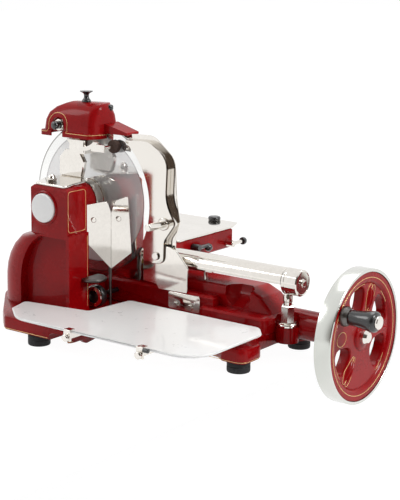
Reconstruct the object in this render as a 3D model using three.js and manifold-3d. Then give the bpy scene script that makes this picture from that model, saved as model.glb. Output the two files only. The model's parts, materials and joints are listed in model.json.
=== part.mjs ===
// Hand cranked meat slicer with a flywheel, in millimetres.
// X runs along the carriage's travel to the flywheel, Y away from the operator, Z up.
// The origin is on the plane that the feet stand on, straight below the middle of the blade.
import * as THREE from "three";
import { mergeVertices } from "three/addons/utils/BufferGeometryUtils.js";
import Module from "manifold-3d";

const wasm = await Module();
wasm.setup();

// Driving sizes
const blade = { radius: 150, thickness: 3, bore: 12, axisZ: 252, bevel: 19 };
const wheel = { radius: 125, width: 32, face: 587 };
const drive = { y: 64, z: 58, shaft: 9 };
const rail = { y: 30, z: 146, radius: 24.5, left: -130, right: 440, floor: 143 };
const base = { left: -175, right: 455, front: -222, back: 130, bottom: 22, top: 50 };
const box = { left: -34, right: 58, front: -145, back: -88, bottom: 204, top: 293.7 };
const tray = { bottom: 71, top: 76 };

// Clearances, overruns and facets
const fit = 0.3;
const play = 0.5;
const overrun = 60;
const weld = 1e-4;
const roundSides = 28;
const smallSides = 12;
const midSides = 20;
const broadSides = 60;
const fineSteps = 12;
const castSteps = { corner: 2, edge: 2 };

// Softened edges and rounded corners of small pieces
const edges = { fine: 0.4, small: 1, middle: 1.5, broad: 2, bold: 3 };
const corners = { tight: 1, small: 2, middle: 3, broad: 4 };

// Finishes
function finish(color, roughness, metalness) {
  return { color, roughness, metalness };
}
const redEnamel = finish(0xa30c15, 0.22, 0);
const chrome = finish(0xdcd8d0, 0.12, 1);
const bladeSteel = finish(0xd6d8dc, 0.1, 1);
const darkSteel = finish(0x4a4644, 0.35, 1);
const brass = finish(0xb58b3c, 0.3, 1);
const blackGloss = finish(0x17181a, 0.25, 0);
const rubber = finish(0x1a1b1d, 0.7, 0);
const whiteGlaze = finish(0xf1eeea, 0.3, 0);
const stone = finish(0x3a2722, 0.85, 0);

// Solids from three.js geometry, and the joins and cuts between them
function solid(geometry) {
  const bare = geometry.index ? geometry.toNonIndexed() : geometry.clone();
  bare.deleteAttribute("normal");
  bare.deleteAttribute("uv");
  const merged = mergeVertices(bare, weld);
  const vertProperties = merged.attributes.position.array;
  const triVerts = new Uint32Array(merged.index.array);
  return new wasm.Manifold(new wasm.Mesh({ numProp: 3, vertProperties, triVerts }));
}

function join(...pieces) {
  return wasm.Manifold.union(pieces);
}

function cut(body, ...tools) {
  return body.subtract(join(...tools));
}

function geometryOf(body) {
  const made = body.getMesh();
  const geometry = new THREE.BufferGeometry();
  geometry.setAttribute("position", new THREE.BufferAttribute(made.vertProperties, 3));
  geometry.setIndex(new THREE.BufferAttribute(made.triVerts, 1));
  const faceted = geometry.toNonIndexed();
  faceted.computeVertexNormals();
  return faceted;
}

// A closed outline through corners of [across, up, round], each corner rounded by its own radius
function outline(corners) {
  const shape = new THREE.Shape();
  const count = corners.length;
  corners.forEach(([across, up, round], i) => {
    const here = new THREE.Vector2(across, up);
    const go = i ? "lineTo" : "moveTo";
    if (!round) {
      shape[go](here.x, here.y);
      return;
    }
    const [beforeX, beforeY] = corners[(i + count - 1) % count];
    const [afterX, afterY] = corners[(i + 1) % count];
    const before = new THREE.Vector2(beforeX, beforeY).sub(here).normalize();
    const after = new THREE.Vector2(afterX, afterY).sub(here).normalize();
    const half = Math.acos(THREE.MathUtils.clamp(before.dot(after), -1, 1)) / 2;
    const inward = before.clone().add(after).normalize();
    const middle = inward.multiplyScalar(round / Math.sin(half)).add(here);
    const turn = before.cross(after);
    const start = before.multiplyScalar(round / Math.tan(half)).add(here);
    const end = after.multiplyScalar(round / Math.tan(half)).add(here);
    const from = Math.atan2(start.y - middle.y, start.x - middle.x);
    const to = Math.atan2(end.y - middle.y, end.x - middle.x);
    shape[go](start.x, start.y);
    shape.absarc(middle.x, middle.y, round, from, to, turn > 0);
  });
  shape.closePath();
  return shape;
}

// Corners as shares of the space between left and right, low and high; rounds as shares of its height
function within(left, right, low, high, shares) {
  const height = high - low;
  return outline(
    shares.map(([across, up, round = 0]) => [
      left + across * (right - left),
      low + up * height,
      round * height,
    ])
  );
}

function rectangle(left, right, low, high, round = 0) {
  return outline([
    [left, low, round],
    [right, low, round],
    [right, high, round],
    [left, high, round],
  ]);
}

function disc(across, up, radius) {
  const shape = new THREE.Shape();
  shape.absarc(across, up, radius, 0, 2 * Math.PI, false);
  return shape;
}

const east = new THREE.Vector3(1, 0, 0);
const north = new THREE.Vector3(0, 1, 0);
const up = new THREE.Vector3(0, 0, 1);
const planes = {
  xy: [east, north, up],
  yz: [north, up, east],
  xz: [east, up, north.clone().negate()],
};

// A plate of the given outline in one plane, from one place to another along the third axis
function plate(plane, shape, from, to, edge = 0, curveSegments = 2, bevelSegments = 1) {
  const bevelled = {
    bevelThickness: edge,
    bevelSize: edge,
    bevelOffset: -edge,
    bevelSegments,
  };
  const geometry = new THREE.ExtrudeGeometry(shape, {
    depth: to - from - 2 * edge,
    curveSegments,
    bevelEnabled: edge > 0,
    ...bevelled,
  });
  geometry.applyMatrix4(new THREE.Matrix4().makeBasis(...planes[plane]));
  const start = plane === "xz" ? to - edge : from + edge;
  const along = plane === "xz" ? north : planes[plane][2];
  geometry.translate(...along.clone().multiplyScalar(start));
  return solid(geometry);
}

function block([left, right], [front, back], [low, high], round = 0, edge = 0) {
  return plate("xy", rectangle(left, right, front, back, round), low, high, edge);
}

// A turned body about the axis x, y or z through a point, from a profile of [radius, place along the axis]
function turned(axis, [x, y, z], profile, sides = roundSides) {
  const points = profile.map(([radius, along]) => new THREE.Vector2(radius, along));
  const geometry = new THREE.LatheGeometry(points, sides);
  if (axis === "x") geometry.rotateZ(-Math.PI / 2);
  if (axis === "z") geometry.rotateX(Math.PI / 2);
  geometry.translate(x, y, z);
  return solid(geometry);
}

function rod(axis, at, radius, from, to, sides = smallSides) {
  return turned(axis, at, [[0, from], [radius, from], [radius, to], [0, to]], sides);
}

// Radius of a bore whose flats clear the corners of a turning shaft
function boreFor(radius, sides = smallSides) {
  return (radius + fit) / Math.cos(Math.PI / sides);
}

function hexagon(axis, at, across, from, to) {
  return rod(axis, at, across / Math.sqrt(3), from, to, 6);
}

// A rod whose two ends are chamfered
function button(axis, at, radius, from, to, edge, sides = roundSides) {
  const profile = [
    [0, from],
    [radius - edge, from],
    [radius, from + edge],
    [radius, to - edge],
    [radius - edge, to],
    [0, to],
  ];
  return turned(axis, at, profile, sides);
}

function ball([x, y, z], radius, stretch = [1, 1, 1]) {
  const geometry = new THREE.SphereGeometry(radius, smallSides, smallSides / 2);
  geometry.scale(...stretch);
  geometry.translate(x, y, z);
  return solid(geometry);
}

// A closed skin over rings of as many points each, with a flat end on the first and the last
function loft(rings) {
  const count = rings[0].length;
  const positions = rings.flat().flatMap((point) => point.toArray());
  const faces = [];
  rings.slice(1).forEach((ring, i) => {
    for (let k = 0; k < count; k++) {
      const a = i * count + k;
      const b = i * count + ((k + 1) % count);
      faces.push(a, b, b + count, a, b + count, a + count);
    }
  });
  for (const [ring, first, way] of [[rings[0], 0, -1], [rings.at(-1), rings.length - 1, 1]]) {
    const middle = ring.reduce((sum, point) => sum.add(point), new THREE.Vector3());
    positions.push(...middle.divideScalar(count).toArray());
    const centre = positions.length / 3 - 1;
    for (let k = 0; k < count; k++) {
      const edge = [first * count + k, first * count + ((k + 1) % count)];
      faces.push(centre, ...(way > 0 ? edge : edge.reverse()));
    }
  }
  const geometry = new THREE.BufferGeometry();
  geometry.setAttribute("position", new THREE.Float32BufferAttribute(positions, 3));
  geometry.setIndex(faces);
  return solid(geometry);
}

// Every piece is a named mesh in one group
const slicer = new THREE.Group();

function piece(name, body, look) {
  const mesh = new THREE.Mesh(geometryOf(body), new THREE.MeshStandardMaterial(look));
  mesh.name = name;
  slicer.add(mesh);
}

// Bevel gear: a toothed outline that shrinks towards the point where the two shafts meet
const toothUnitShares = { tip: 0.6, root: 1.35 };
const toothWidthShares = { root: 0.3, pitch: 0.2, tip: 0.12 };
const gearFaceShare = 0.32;
const halfToothShare = 0.5;

// The gear looks along facing to the meeting point, and tooth number nought leans to its mate
function bevelGear(meet, facing, toMate, radius, mateRadius, teeth, turn) {
  const unit = (2 * radius) / teeth;
  const pitch = (2 * Math.PI) / teeth;
  const levels = [
    [radius - toothUnitShares.root * unit, toothWidthShares.root],
    [radius, toothWidthShares.pitch],
    [radius + toothUnitShares.tip * unit, toothWidthShares.tip],
  ];
  const flank = levels.map(([r, share]) => [r, -share]);
  const tooth = [...flank, ...levels.reverse()];
  const ring = [];
  for (let i = 0; i < teeth; i++) {
    tooth.forEach(([r, share]) => {
      const angle = turn * pitch + (i + share) * pitch;
      ring.push([r * Math.cos(angle), r * Math.sin(angle)]);
    });
  }
  const geometry = new THREE.ExtrudeGeometry(outline(ring), {
    depth: mateRadius * gearFaceShare,
    bevelEnabled: false,
  });
  const position = geometry.attributes.position;
  for (let i = 0; i < position.count; i++) {
    const away = mateRadius - position.getZ(i);
    const shrink = away / mateRadius;
    position.setXYZ(i, position.getX(i) * shrink, position.getY(i) * shrink, -away);
  }
  const side = new THREE.Vector3().crossVectors(facing, toMate);
  geometry.applyMatrix4(new THREE.Matrix4().makeBasis(toMate, side, facing));
  geometry.translate(...meet);
  return solid(geometry);
}

// Drive train: wheel shaft, cross shaft, upright shaft and blade shaft, each pair at right angles
const gears = { even: 18, evenTeeth: 12, large: 20, largeTeeth: 16, small: 10, smallTeeth: 8 };
const hubs = { even: 12, evenLength: 8, wheelLength: 6, large: 15, largeLength: 6, small: 7, smallLength: 5 };
const shafts = { cross: 7, upright: 5, blade: 8 };
const column = { shaftY: -106 };
const lowMeet = [0, drive.y, drive.z];
const footMeet = [0, column.shaftY, drive.z];
const headMeet = [0, column.shaftY, blade.axisZ];
const west = east.clone().negate();
const south = north.clone().negate();
const down = up.clone().negate();

// Base casting: platform, body with a valley, track wall, nose, tunnel to the column
const plan = {
  edge: 5,
  shares: [
    [0, 0.966, 0.09],
    [0, 0.415, 0.17],
    [0.167, 0.09, 0.12],
    [0.222, 0, 0.05],
    [0.484, 0, 0.05],
    [0.484, 0.3125, 0.03],
    [0.889, 0.3125, 0.05],
    [0.92, 0.273, 0.03],
    [0.995, 0.273, 0.05],
    [0.995, 0.432, 0.06],
    [0.951, 0.517, 0.05],
    [0.951, 0.716, 0.05],
    [1, 0.83, 0.05],
    [1, 1, 0.05],
    [0.916, 1, 0.04],
    [0.889, 0.966, 0.02],
  ],
};
const sill = { left: 34, right: 300, front: -8, top: 98, edge: 4 };
const ledge = { left: 272, right: 425, front: -20, top: 79, round: 14 };
const wall = { left: -165, right: 404, front: 16, back: 92, top: 118, edge: 6, hump: 92 };
const valley = { left: 312, right: 368, y: 4, z: 126, radius: 46, end: 16 };
const nose = { left: 395, right: 533, radius: 28, y: drive.y, z: drive.z };
const tunnel = { half: 36, bottom: 48, top: 90, pocketHalf: 24, pocketTop: 84 };
const pockets = { front: -121, mid: -76, rear: 38, back: 88 };
const boss = { x: 443, y: rail.y, radius: 22, bottom: 31, top: 60 };
const scallop = { left: 78, right: 122, rise: 16, depth: 44, round: 12 };
const keel = { left: 122, right: 134, bottom: 14, front: -206, back: -116, run: 30 };

function basePlatform() {
  const shape = within(base.left, base.right, base.front, base.back, plan.shares);
  const top = plate("xy", shape, base.bottom, base.top, plan.edge, castSteps.corner, castSteps.edge);
  const keelSide = outline([
    [keel.front, base.top - plan.edge],
    [keel.front + keel.run, keel.bottom, keel.run / 2],
    [keel.back, base.bottom],
    [keel.back, base.top - plan.edge],
  ]);
  const fin = plate("yz", keelSide, keel.left, keel.right - plan.edge);
  const under = base.bottom - overrun;
  const wave = rectangle(scallop.left, scallop.right, under, base.bottom + scallop.rise, scallop.round);
  const arch = plate("xz", wave, base.front - overrun, base.front + scallop.depth);
  return cut(join(top, fin), arch);
}

function baseBody() {
  const front = block(
    [sill.left, sill.right],
    [sill.front, wall.back],
    [base.top - play, sill.top],
    0,
    sill.edge
  );
  const shelf = block(
    [ledge.left, ledge.right],
    [ledge.front, wall.back],
    [base.top - plan.edge, ledge.top],
    ledge.round,
    sill.edge
  );
  const profile = outline([
    [wall.left, base.top - plan.edge],
    [wall.right + ledge.round, base.top - plan.edge],
    [wall.right + ledge.round, ledge.top, ledge.round / 2],
    [wall.right - ledge.round, wall.hump + ledge.round, ledge.round],
    [wall.right - 3 * ledge.round, wall.top, ledge.round],
    [wall.left, wall.top, ledge.round],
  ]);
  const rear = plate("xz", profile, wall.front, wall.back, wall.edge, castSteps.corner + 1, castSteps.edge);
  const bowl = button("x", [0, valley.y, valley.z], valley.radius, valley.left, valley.right, valley.end);
  const tube = button("x", [0, nose.y, nose.z], nose.radius, nose.left, nose.right, plan.edge, midSides);
  const bridge = block(
    [-tunnel.half, tunnel.half],
    [box.back + play, wall.front + overrun / 2],
    [tunnel.bottom, tunnel.top],
    0,
    sill.edge
  );
  const seat = rod("z", [boss.x, boss.y, 0], boss.radius, boss.bottom, boss.top, midSides);
  return [cut(join(front, shelf, rear), bowl), tube, bridge, seat];
}

const post = { washer: 21.5, hex: 26, neck: 8.5, washerTop: 67, hexTop: 102, screw: 6, depth: 14 };
const gauge = { pin: 4, pinX: [216, 250], pinZ: 70, reach: 12 };
const knob = { x: 66, y: -70, z: 75, radius: 22, width: 14, stem: 5, reach: 14 };

function basePockets() {
  const half = tunnel.pocketHalf;
  const under = base.bottom - overrun;
  const foot = block([-half, half], [pockets.front, pockets.mid], [under, tunnel.pocketTop]);
  const corner = block([-half, half], [pockets.rear, pockets.back], [under, tunnel.pocketTop]);
  const crossBore = rod("y", lowMeet, boreFor(shafts.cross), pockets.mid - overrun / 2 - drive.y, 0);
  const wheelBore = rod("x", lowMeet, boreFor(drive.shaft), 0, nose.right + overrun);
  const washerRoom = rod("z", [boss.x, boss.y, 0], boss.radius + fit, boss.top, tunnel.top + play);
  const screwHole = rod(
    "z",
    [boss.x, boss.y, 0],
    post.screw + fit,
    boss.top - post.depth - fit,
    boss.top + overrun
  );
  const knobHole = rod(
    "y",
    [knob.x, 0, knob.z],
    boreFor(knob.stem),
    sill.front - overrun,
    sill.front + knob.reach
  );
  const pinHoles = gauge.pinX.map((x) =>
    rod("y", [x, 0, gauge.pinZ], gauge.pin + fit, sill.front - overrun, sill.front + gauge.reach)
  );
  return [foot, corner, crossBore, wheelBore, washerRoom, screwHole, knobHole, ...pinHoles];
}

piece("base", cut(join(basePlatform(), ...baseBody()), ...basePockets()), redEnamel);

// Cover plate under the gear pockets
const lid = { margin: 10, thickness: 3, round: 8 };
const lidPlate = block(
  [-tunnel.pocketHalf - lid.margin, tunnel.pocketHalf + lid.margin],
  [pockets.front - lid.margin, pockets.back + lid.margin],
  [base.bottom - fit - lid.thickness, base.bottom - fit],
  lid.round
);
piece("base_cover", lidPlate, redEnamel);

// Rubber feet
const foot = { radius: 21.5, chamfer: 2, places: [[31, -196], [421, -95], [427, 99], [-110, 92]] };
const footNames = ["front_left", "front_right", "back_right", "back_left"];
foot.places.forEach(([x, y], i) => {
  const body = button("z", [x, y, 0], foot.radius, 0, base.bottom - fit, foot.chamfer, midSides);
  piece("foot_" + footNames[i], body, rubber);
});

// Column: box with the medallion seat, neck for the blade shaft, and a flared lower body with a sunk panel
const flare = {
  right: 62,
  shoulder: 100,
  backReach: 105,
  frontReach: 84,
  backRoot: -30,
  frontRoot: 10,
  levels: 8,
  steps: 8,
};
const panel = { depth: 20, frame: 8, sweep: 10, top: 196 };
const neck = { radius: 40, end: -42 };
const ring = { outer: 33.5, inner: 28.5, proud: 2.5 };
const bore = { upright: boreFor(shafts.upright), blade: boreFor(shafts.blade) };
const headRoom = { half: 24, front: -131, back: -80, bottom: 224 };

function flareEdge(z) {
  const rise = Math.max(0, (z - flare.shoulder) / (box.bottom - flare.shoulder));
  const bulge = Math.sqrt(Math.max(0, 1 - rise ** 2));
  return {
    backX: flare.backRoot - flare.backReach * bulge,
    frontX: flare.frontRoot - flare.frontReach * bulge,
  };
}

function flareRing(z) {
  const { backX, frontX } = flareEdge(z);
  const ringPoints = [
    new THREE.Vector3(flare.right, box.back, z),
    new THREE.Vector3(flare.right, box.front, z),
  ];
  const deep = box.back - box.front;
  for (let i = 0; i <= flare.steps; i++) {
    const angle = (i / flare.steps) * (Math.PI / 2);
    const x = frontX + (backX - frontX) * Math.sin(angle);
    ringPoints.push(new THREE.Vector3(x, box.back - deep * Math.cos(angle), z));
  }
  return ringPoints.reverse();
}

function columnBody() {
  const low = base.top + fit;
  const shell = block(
    [box.left, box.right],
    [box.front, box.back],
    [box.bottom - panel.frame, box.top],
    0,
    plan.edge
  );
  const rings = [];
  for (let i = 0; i <= flare.levels; i++) {
    const share = i / flare.levels;
    rings.push(flareRing(low + (box.bottom - low) * share));
  }
  const tube = rod("y", [0, 0, blade.axisZ], neck.radius, box.back - play, neck.end, roundSides);
  const seat = turned("y", [0, box.front, blade.axisZ], [
    [0, plan.edge],
    [ring.outer, plan.edge],
    [ring.outer, -ring.proud / 2],
    [ring.outer - ring.proud, -ring.proud],
    [ring.inner + ring.proud / 2, -ring.proud],
    [ring.inner, 0],
    [0, 0],
  ]);
  return join(shell, loft(rings), tube, seat);
}

function columnCuts() {
  const low = base.top - overrun;
  const high = panel.top;
  const edge = [];
  for (let i = 0; i <= 2 * flare.levels; i++) {
    const z = base.top + ((high - base.top) * i) / (2 * flare.levels);
    edge.push([flareEdge(z).frontX + panel.sweep, z]);
  }
  const right = flare.right - panel.frame;
  const shape = outline([[edge[0][0], low], [right, low], [right, high], ...edge.reverse()]);
  const sunk = plate("xz", shape, box.front - overrun, box.front + panel.depth);
  const half = headRoom.half;
  const head = block([-half, half], [headRoom.front, headRoom.back], [headRoom.bottom, box.top + overrun]);
  const foot = block([-half, half], [pockets.front, pockets.mid], [low, tunnel.pocketTop]);
  const upright = rod("z", [0, column.shaftY, 0], bore.upright, low, headRoom.bottom + play);
  const bladeBore = rod("y", [0, 0, blade.axisZ], bore.blade, headRoom.back - play, neck.end + overrun);
  return [sunk, head, foot, upright, bladeBore];
}

piece("column", cut(columnBody(), ...columnCuts()), redEnamel);

// Medallion in its raised seat
const medallion = { radius: 28, front: 7, edge: 1.5 };
const medallionAt = [0, box.front, blade.axisZ];
piece(
  "medallion",
  button("y", medallionAt, medallion.radius, -medallion.front, -fit, medallion.edge),
  whiteGlaze
);

// Chrome plate that closes the box, with its domed nut
const cap = {
  thickness: 4.5,
  left: -50,
  right: 56,
  front: -143,
  back: -34,
  shares: [
    [0.21, 0.03, 0.06],
    [0.96, 0, 0.06],
    [0.81, 0.7, 0.12],
    [0.55, 1, 0.12],
    [0.08, 0.9, 0.12],
    [0, 0.55, 0.12],
  ],
};
const capBottom = box.top + fit;
const capTop = capBottom + cap.thickness;
const capShape = within(cap.left, cap.right, cap.front, cap.back, cap.shares);
piece("column_top_plate", plate("xy", capShape, capBottom, capTop, edges.small), chrome);

const dome = { x: -10, y: -112, across: 17, hexHeight: 5, radius: 7.5, height: 13 };
const domeShares = [[0.87, 0.72], [0.5, 0.93], [0, 1]];
const domeProfile = [
  [0, 0],
  [dome.radius, 0],
  [dome.radius, dome.hexHeight],
  ...domeShares.map(([across, high]) => [dome.radius * across, dome.height * high]),
];
const domeAt = [dome.x, dome.y, capTop + fit];
const domeNut = join(
  turned("z", domeAt, domeProfile, smallSides),
  hexagon("z", domeAt, dome.across, 0, dome.hexHeight)
);
piece("cap_nut", domeNut, chrome);

// Blade with its ground bevel, chrome hub and drive shaft
const hub = { radius: 40.5, front: -40, waist: 30, step: 8 };
const bladeAt = [0, 0, blade.axisZ];
const half = blade.thickness / 2;
const bladeProfile = [
  [blade.bore, -half],
  [blade.radius - blade.bevel, -half],
  [blade.radius, half - play],
  [blade.radius, half],
  [blade.bore, half],
  [blade.bore, -half],
];
piece("blade", turned("y", bladeAt, bladeProfile, broadSides), bladeSteel);

const hubProfile = [
  [shafts.blade + fit, hub.front],
  [hub.radius - 2 * play, hub.front],
  [hub.radius, hub.front + 2 * play],
  [hub.radius, -half - fit - hub.step],
  [hub.waist, -half - fit],
  [shafts.blade + fit, -half - fit],
  [shafts.blade + fit, hub.front],
];
piece("blade_hub", turned("y", bladeAt, hubProfile), chrome);

const driven = bevelGear(headMeet, south, down, gears.small, gears.large, gears.smallTeeth, halfToothShare);
const gearBack = column.shaftY + gears.large;
const bladeShaft = join(
  driven,
  rod("y", bladeAt, shafts.blade, gearBack - play, half - play),
  button("y", bladeAt, blade.bore - fit, -half - fit, half - play, play, smallSides)
);
piece("blade_shaft", bladeShaft, darkSteel);

// Upright shaft in the column
const uprightFoot = drive.z + gears.large;
const uprightHead = blade.axisZ - gears.small;
const upright = join(
  bevelGear(footMeet, down, north, gears.small, gears.large, gears.smallTeeth, halfToothShare),
  rod("z", [0, column.shaftY, 0], hubs.small, uprightFoot - play, uprightFoot + hubs.smallLength),
  rod("z", [0, column.shaftY, 0], shafts.upright, uprightFoot, uprightHead),
  rod("z", [0, column.shaftY, 0], hubs.large, uprightHead - hubs.largeLength, uprightHead + play),
  bevelGear(headMeet, up, north, gears.large, gears.small, gears.largeTeeth, 0)
);
piece("upright_shaft", upright, darkSteel);

// Cross shaft under the blade
const crossFront = column.shaftY + gears.small;
const crossRear = drive.y - gears.even;
const cross = join(
  bevelGear(lowMeet, north, east, gears.even, gears.even, gears.evenTeeth, halfToothShare),
  rod("y", [0, 0, drive.z], hubs.even, crossRear - hubs.evenLength, crossRear + play),
  rod("y", [0, 0, drive.z], shafts.cross, crossFront, crossRear),
  rod("y", [0, 0, drive.z], hubs.large, crossFront - play, crossFront + hubs.largeLength),
  bevelGear(footMeet, south, up, gears.large, gears.small, gears.largeTeeth, 0)
);
piece("cross_shaft", cross, darkSteel);

// Flywheel: pierced web with twin leaves on its spokes, deep ring, hub; chrome band round it
const web = {
  back: 566,
  front: 578,
  ringInner: 100,
  ringOuter: 119,
  ringBack: 558,
  ringFront: 585,
  hub: 24,
  hubBack: 537,
  hubFront: 584,
  windowInner: 47,
  windowOuter: 97,
  innerAngle: 0.2,
  outerAngle: 0.37,
  innerRound: 7,
  outerRound: 14,
  spokes: 5,
};
const leaf = { radius: 28, place: 60, apart: 6.5, lean: 0.1, sides: 8, rings: 6 };
const leafShares = { width: 0.19, height: 0.2 };
const wheelAt = [0, drive.y, drive.z];
const fifth = (2 * Math.PI) / web.spokes;

function polar(radius, angle, round) {
  return [drive.y + radius * Math.cos(angle), drive.z + radius * Math.sin(angle), round];
}

function wheelWindow(angle) {
  const shape = outline([
    polar(web.windowInner, angle - web.innerAngle, web.innerRound),
    polar(web.windowOuter, angle - web.outerAngle, web.outerRound),
    polar(web.windowOuter, angle + web.outerAngle, web.outerRound),
    polar(web.windowInner, angle + web.innerAngle, web.innerRound),
  ]);
  return plate("yz", shape, web.back - overrun, web.front + overrun);
}

function wheelLeaves(angle) {
  return [-1, 1].map((side) => {
    const geometry = new THREE.SphereGeometry(leaf.radius, leaf.sides, leaf.rings);
    geometry.scale(leafShares.height, 1, leafShares.width);
    geometry.rotateX(side * leaf.lean);
    geometry.translate(web.front, leaf.place, side * leaf.apart);
    geometry.rotateX(angle);
    geometry.translate(...wheelAt);
    return solid(geometry);
  });
}

function flywheelBody() {
  const disc = turned("x", wheelAt, [
    [0, web.hubBack],
    [web.hub, web.hubBack],
    [web.hub, web.back],
    [web.ringInner - 2 * plan.edge, web.back],
    [web.ringInner, web.ringBack + play],
    [web.ringInner + play, web.ringBack],
    [web.ringOuter, web.ringBack],
    [web.ringOuter, web.ringFront],
    [web.ringInner + plan.edge, web.ringFront],
    [web.ringInner, web.ringFront - 2 * play],
    [web.ringInner - plan.edge, web.front],
    [web.hub + plan.edge, web.front],
    [web.hub, web.hubFront],
    [0, web.hubFront],
  ], broadSides);
  const leaves = [];
  const windows = [];
  for (let i = 0; i < web.spokes; i++) {
    leaves.push(...wheelLeaves(i * fifth + 2 * fifth));
    if (i) windows.push(wheelWindow(i * fifth - 3 * (fifth / 2)));
  }
  return [join(disc, ...leaves), windows];
}

const handle = { radius: 95, angle: 2.513, boss: 15, bossFront: 586, pin: 5, root: 570 };
const collar = { radius: 18, waist: 12, length: 13 };
const grip = { length: 62, thin: 13, thick: 18, bore: boreFor(handle.pin, midSides), end: 3 };
const gripShares = { slim: 0.35, swell: 0.7, full: 0.85 };
const gripCap = { radius: 12.5, thickness: 5 };
const [handleY, handleZ] = polar(handle.radius, handle.angle);
const handleAt = [0, handleY, handleZ];

const [wheelSolid, windows] = flywheelBody();
const handleBoss = rod("x", handleAt, handle.boss, web.front - play, handle.bossFront, midSides);
const shaftBore = rod("x", wheelAt, drive.shaft + fit, web.hubBack - overrun, web.hubFront + overrun);
const pinBore = rod("x", handleAt, handle.pin + fit, handle.root, handle.bossFront + overrun);
piece("flywheel", cut(join(wheelSolid, handleBoss), ...windows, shaftBore, pinBore), redEnamel);

const rimBack = wheel.face - wheel.width;
const rimInner = web.ringOuter + fit;
const rimProfile = [
  [rimInner, rimBack],
  [wheel.radius - play, rimBack],
  [wheel.radius, rimBack + play],
  [wheel.radius, wheel.face - 2 * play],
  [wheel.radius - 2 * play, wheel.face],
  [rimInner, wheel.face],
  [rimInner, rimBack],
];
piece("flywheel_rim", turned("x", wheelAt, rimProfile, broadSides), chrome);

const hubCap = { radius: 13, length: 12, tip: 9 };
const hubCapFrom = web.hubFront + fit;
const hubCapProfile = [
  [0, hubCapFrom],
  [hubCap.radius, hubCapFrom],
  [hubCap.radius, hubCapFrom + hubCap.length / 2],
  [hubCap.tip, hubCapFrom + hubCap.length],
  [0, hubCapFrom + hubCap.length],
];
piece("hub_cap", turned("x", wheelAt, hubCapProfile, smallSides), chrome);

const wheelShaft = join(
  bevelGear(lowMeet, west, south, gears.even, gears.even, gears.evenTeeth, 0),
  rod("x", wheelAt, hubs.even, gears.even - play, gears.even + hubs.wheelLength),
  rod("x", wheelAt, drive.shaft, gears.even, web.hubFront)
);
piece("wheel_shaft", wheelShaft, darkSteel);

// Handle: pin with its dark collar, turning grip and end cap
const collarFrom = handle.bossFront + fit;
const collarTo = collarFrom + collar.length;
const gripTo = collarTo + fit + grip.length;
const pinProfile = [
  [0, handle.root + play],
  [handle.pin, handle.root + play],
  [handle.pin, collarFrom],
  [collar.radius, collarFrom],
  [collar.radius, collarFrom + collar.length / 2],
  [collar.waist, collarTo],
  [handle.pin, collarTo],
  [handle.pin, gripTo],
  [0, gripTo],
];
piece("handle_pin", turned("x", handleAt, pinProfile, midSides), darkSteel);

const gripProfile = [
  [grip.bore, collarTo + fit],
  [grip.thin - play, collarTo + fit],
  [grip.thin, collarTo + 2 * play],
  [grip.thin + play, collarTo + grip.length * gripShares.slim],
  [grip.thick - play, collarTo + grip.length * gripShares.swell],
  [grip.thick, collarTo + grip.length * gripShares.full],
  [grip.thick - 2 * play, gripTo - grip.end],
  [grip.thin, gripTo],
  [grip.bore, gripTo],
  [grip.bore, collarTo + fit],
];
piece("hand_grip", turned("x", handleAt, gripProfile, midSides), blackGloss);
const capFrom = gripTo + fit;
const capBody = button(
  "x",
  handleAt,
  gripCap.radius,
  capFrom,
  capFrom + gripCap.thickness,
  edges.middle,
  midSides
);
piece("grip_cap", capBody, chrome);

// Slice tray on two arms, each with a clip over the front edge, seated in the tray, and a nut
const trayPlan = {
  left: -12,
  right: 465,
  front: -284,
  back: -57,
  edge: 1.5,
  shares: [
    [0, 0.42, 0.04],
    [0.03, 0.2, 0.04],
    [0.14, 0, 0.25],
    [1, 0, 0.24],
    [1, 0.863, 0.1],
    [0.948, 1, 0.08],
    [0.317, 1, 0.05],
    [0.294, 0.524, 0.03],
  ],
};
const trayShape = within(trayPlan.left, trayPlan.right, trayPlan.front, trayPlan.back, trayPlan.shares);

const arm = { x: [184, 349], half: 5, footFront: -104, footBack: -76, low: 60 };
const clip = { half: 7.5, thickness: 4.5, low: 56, lip: 2, reach: 10, seat: 1 };
const clipNut = { z: 63, radius: 7, length: 7 };
const latch = { radius: 4, length: 12, z: 73 };
const clipBack = trayPlan.front - play;
const clipFront = clipBack - clip.thickness;
const lipLow = tray.top - clip.seat + fit;
const lipSeats = arm.x.map((x) =>
  block(
    [x - clip.half - fit, x + clip.half + fit],
    [trayPlan.front - overrun, clipBack + clip.reach + fit],
    [tray.top - clip.seat, tray.top + overrun]
  )
);
const traySheet = plate("xy", trayShape, tray.bottom, tray.top, trayPlan.edge);
piece("slice_tray", cut(traySheet, ...lipSeats), whiteGlaze);
arm.x.forEach((x, i) => {
  const across = [x - arm.half, x + arm.half];
  const bar = block(across, [trayPlan.front, arm.footBack], [arm.low, tray.bottom - fit]);
  const footing = block(across, [arm.footFront, arm.footBack], [base.top + fit, tray.bottom - fit]);
  piece("tray_arm_" + (i + 1), join(bar, footing), chrome);

  const wide = [x - clip.half, x + clip.half];
  const stem = block(wide, [clipFront, clipBack], [clip.low, lipLow + clip.lip]);
  const lip = block(wide, [clipFront, clipBack + clip.reach], [lipLow, lipLow + clip.lip]);
  const nutAt = [x, clipFront, clipNut.z];
  const nut = button("y", nutAt, clipNut.radius, -clipNut.length, play, edges.middle, smallSides);
  piece("tray_clip_" + (i + 1), join(stem, lip, nut), chrome);
});
const latchFrom = arm.x[1] + clip.half + fit;
const latchAt = [0, clipBack - latch.radius, latch.z];
const latchBody = button(
  "x",
  latchAt,
  latch.radius,
  latchFrom,
  latchFrom + latch.length,
  edges.small,
  smallSides
);
piece("tray_latch", latchBody, blackGloss);

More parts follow.
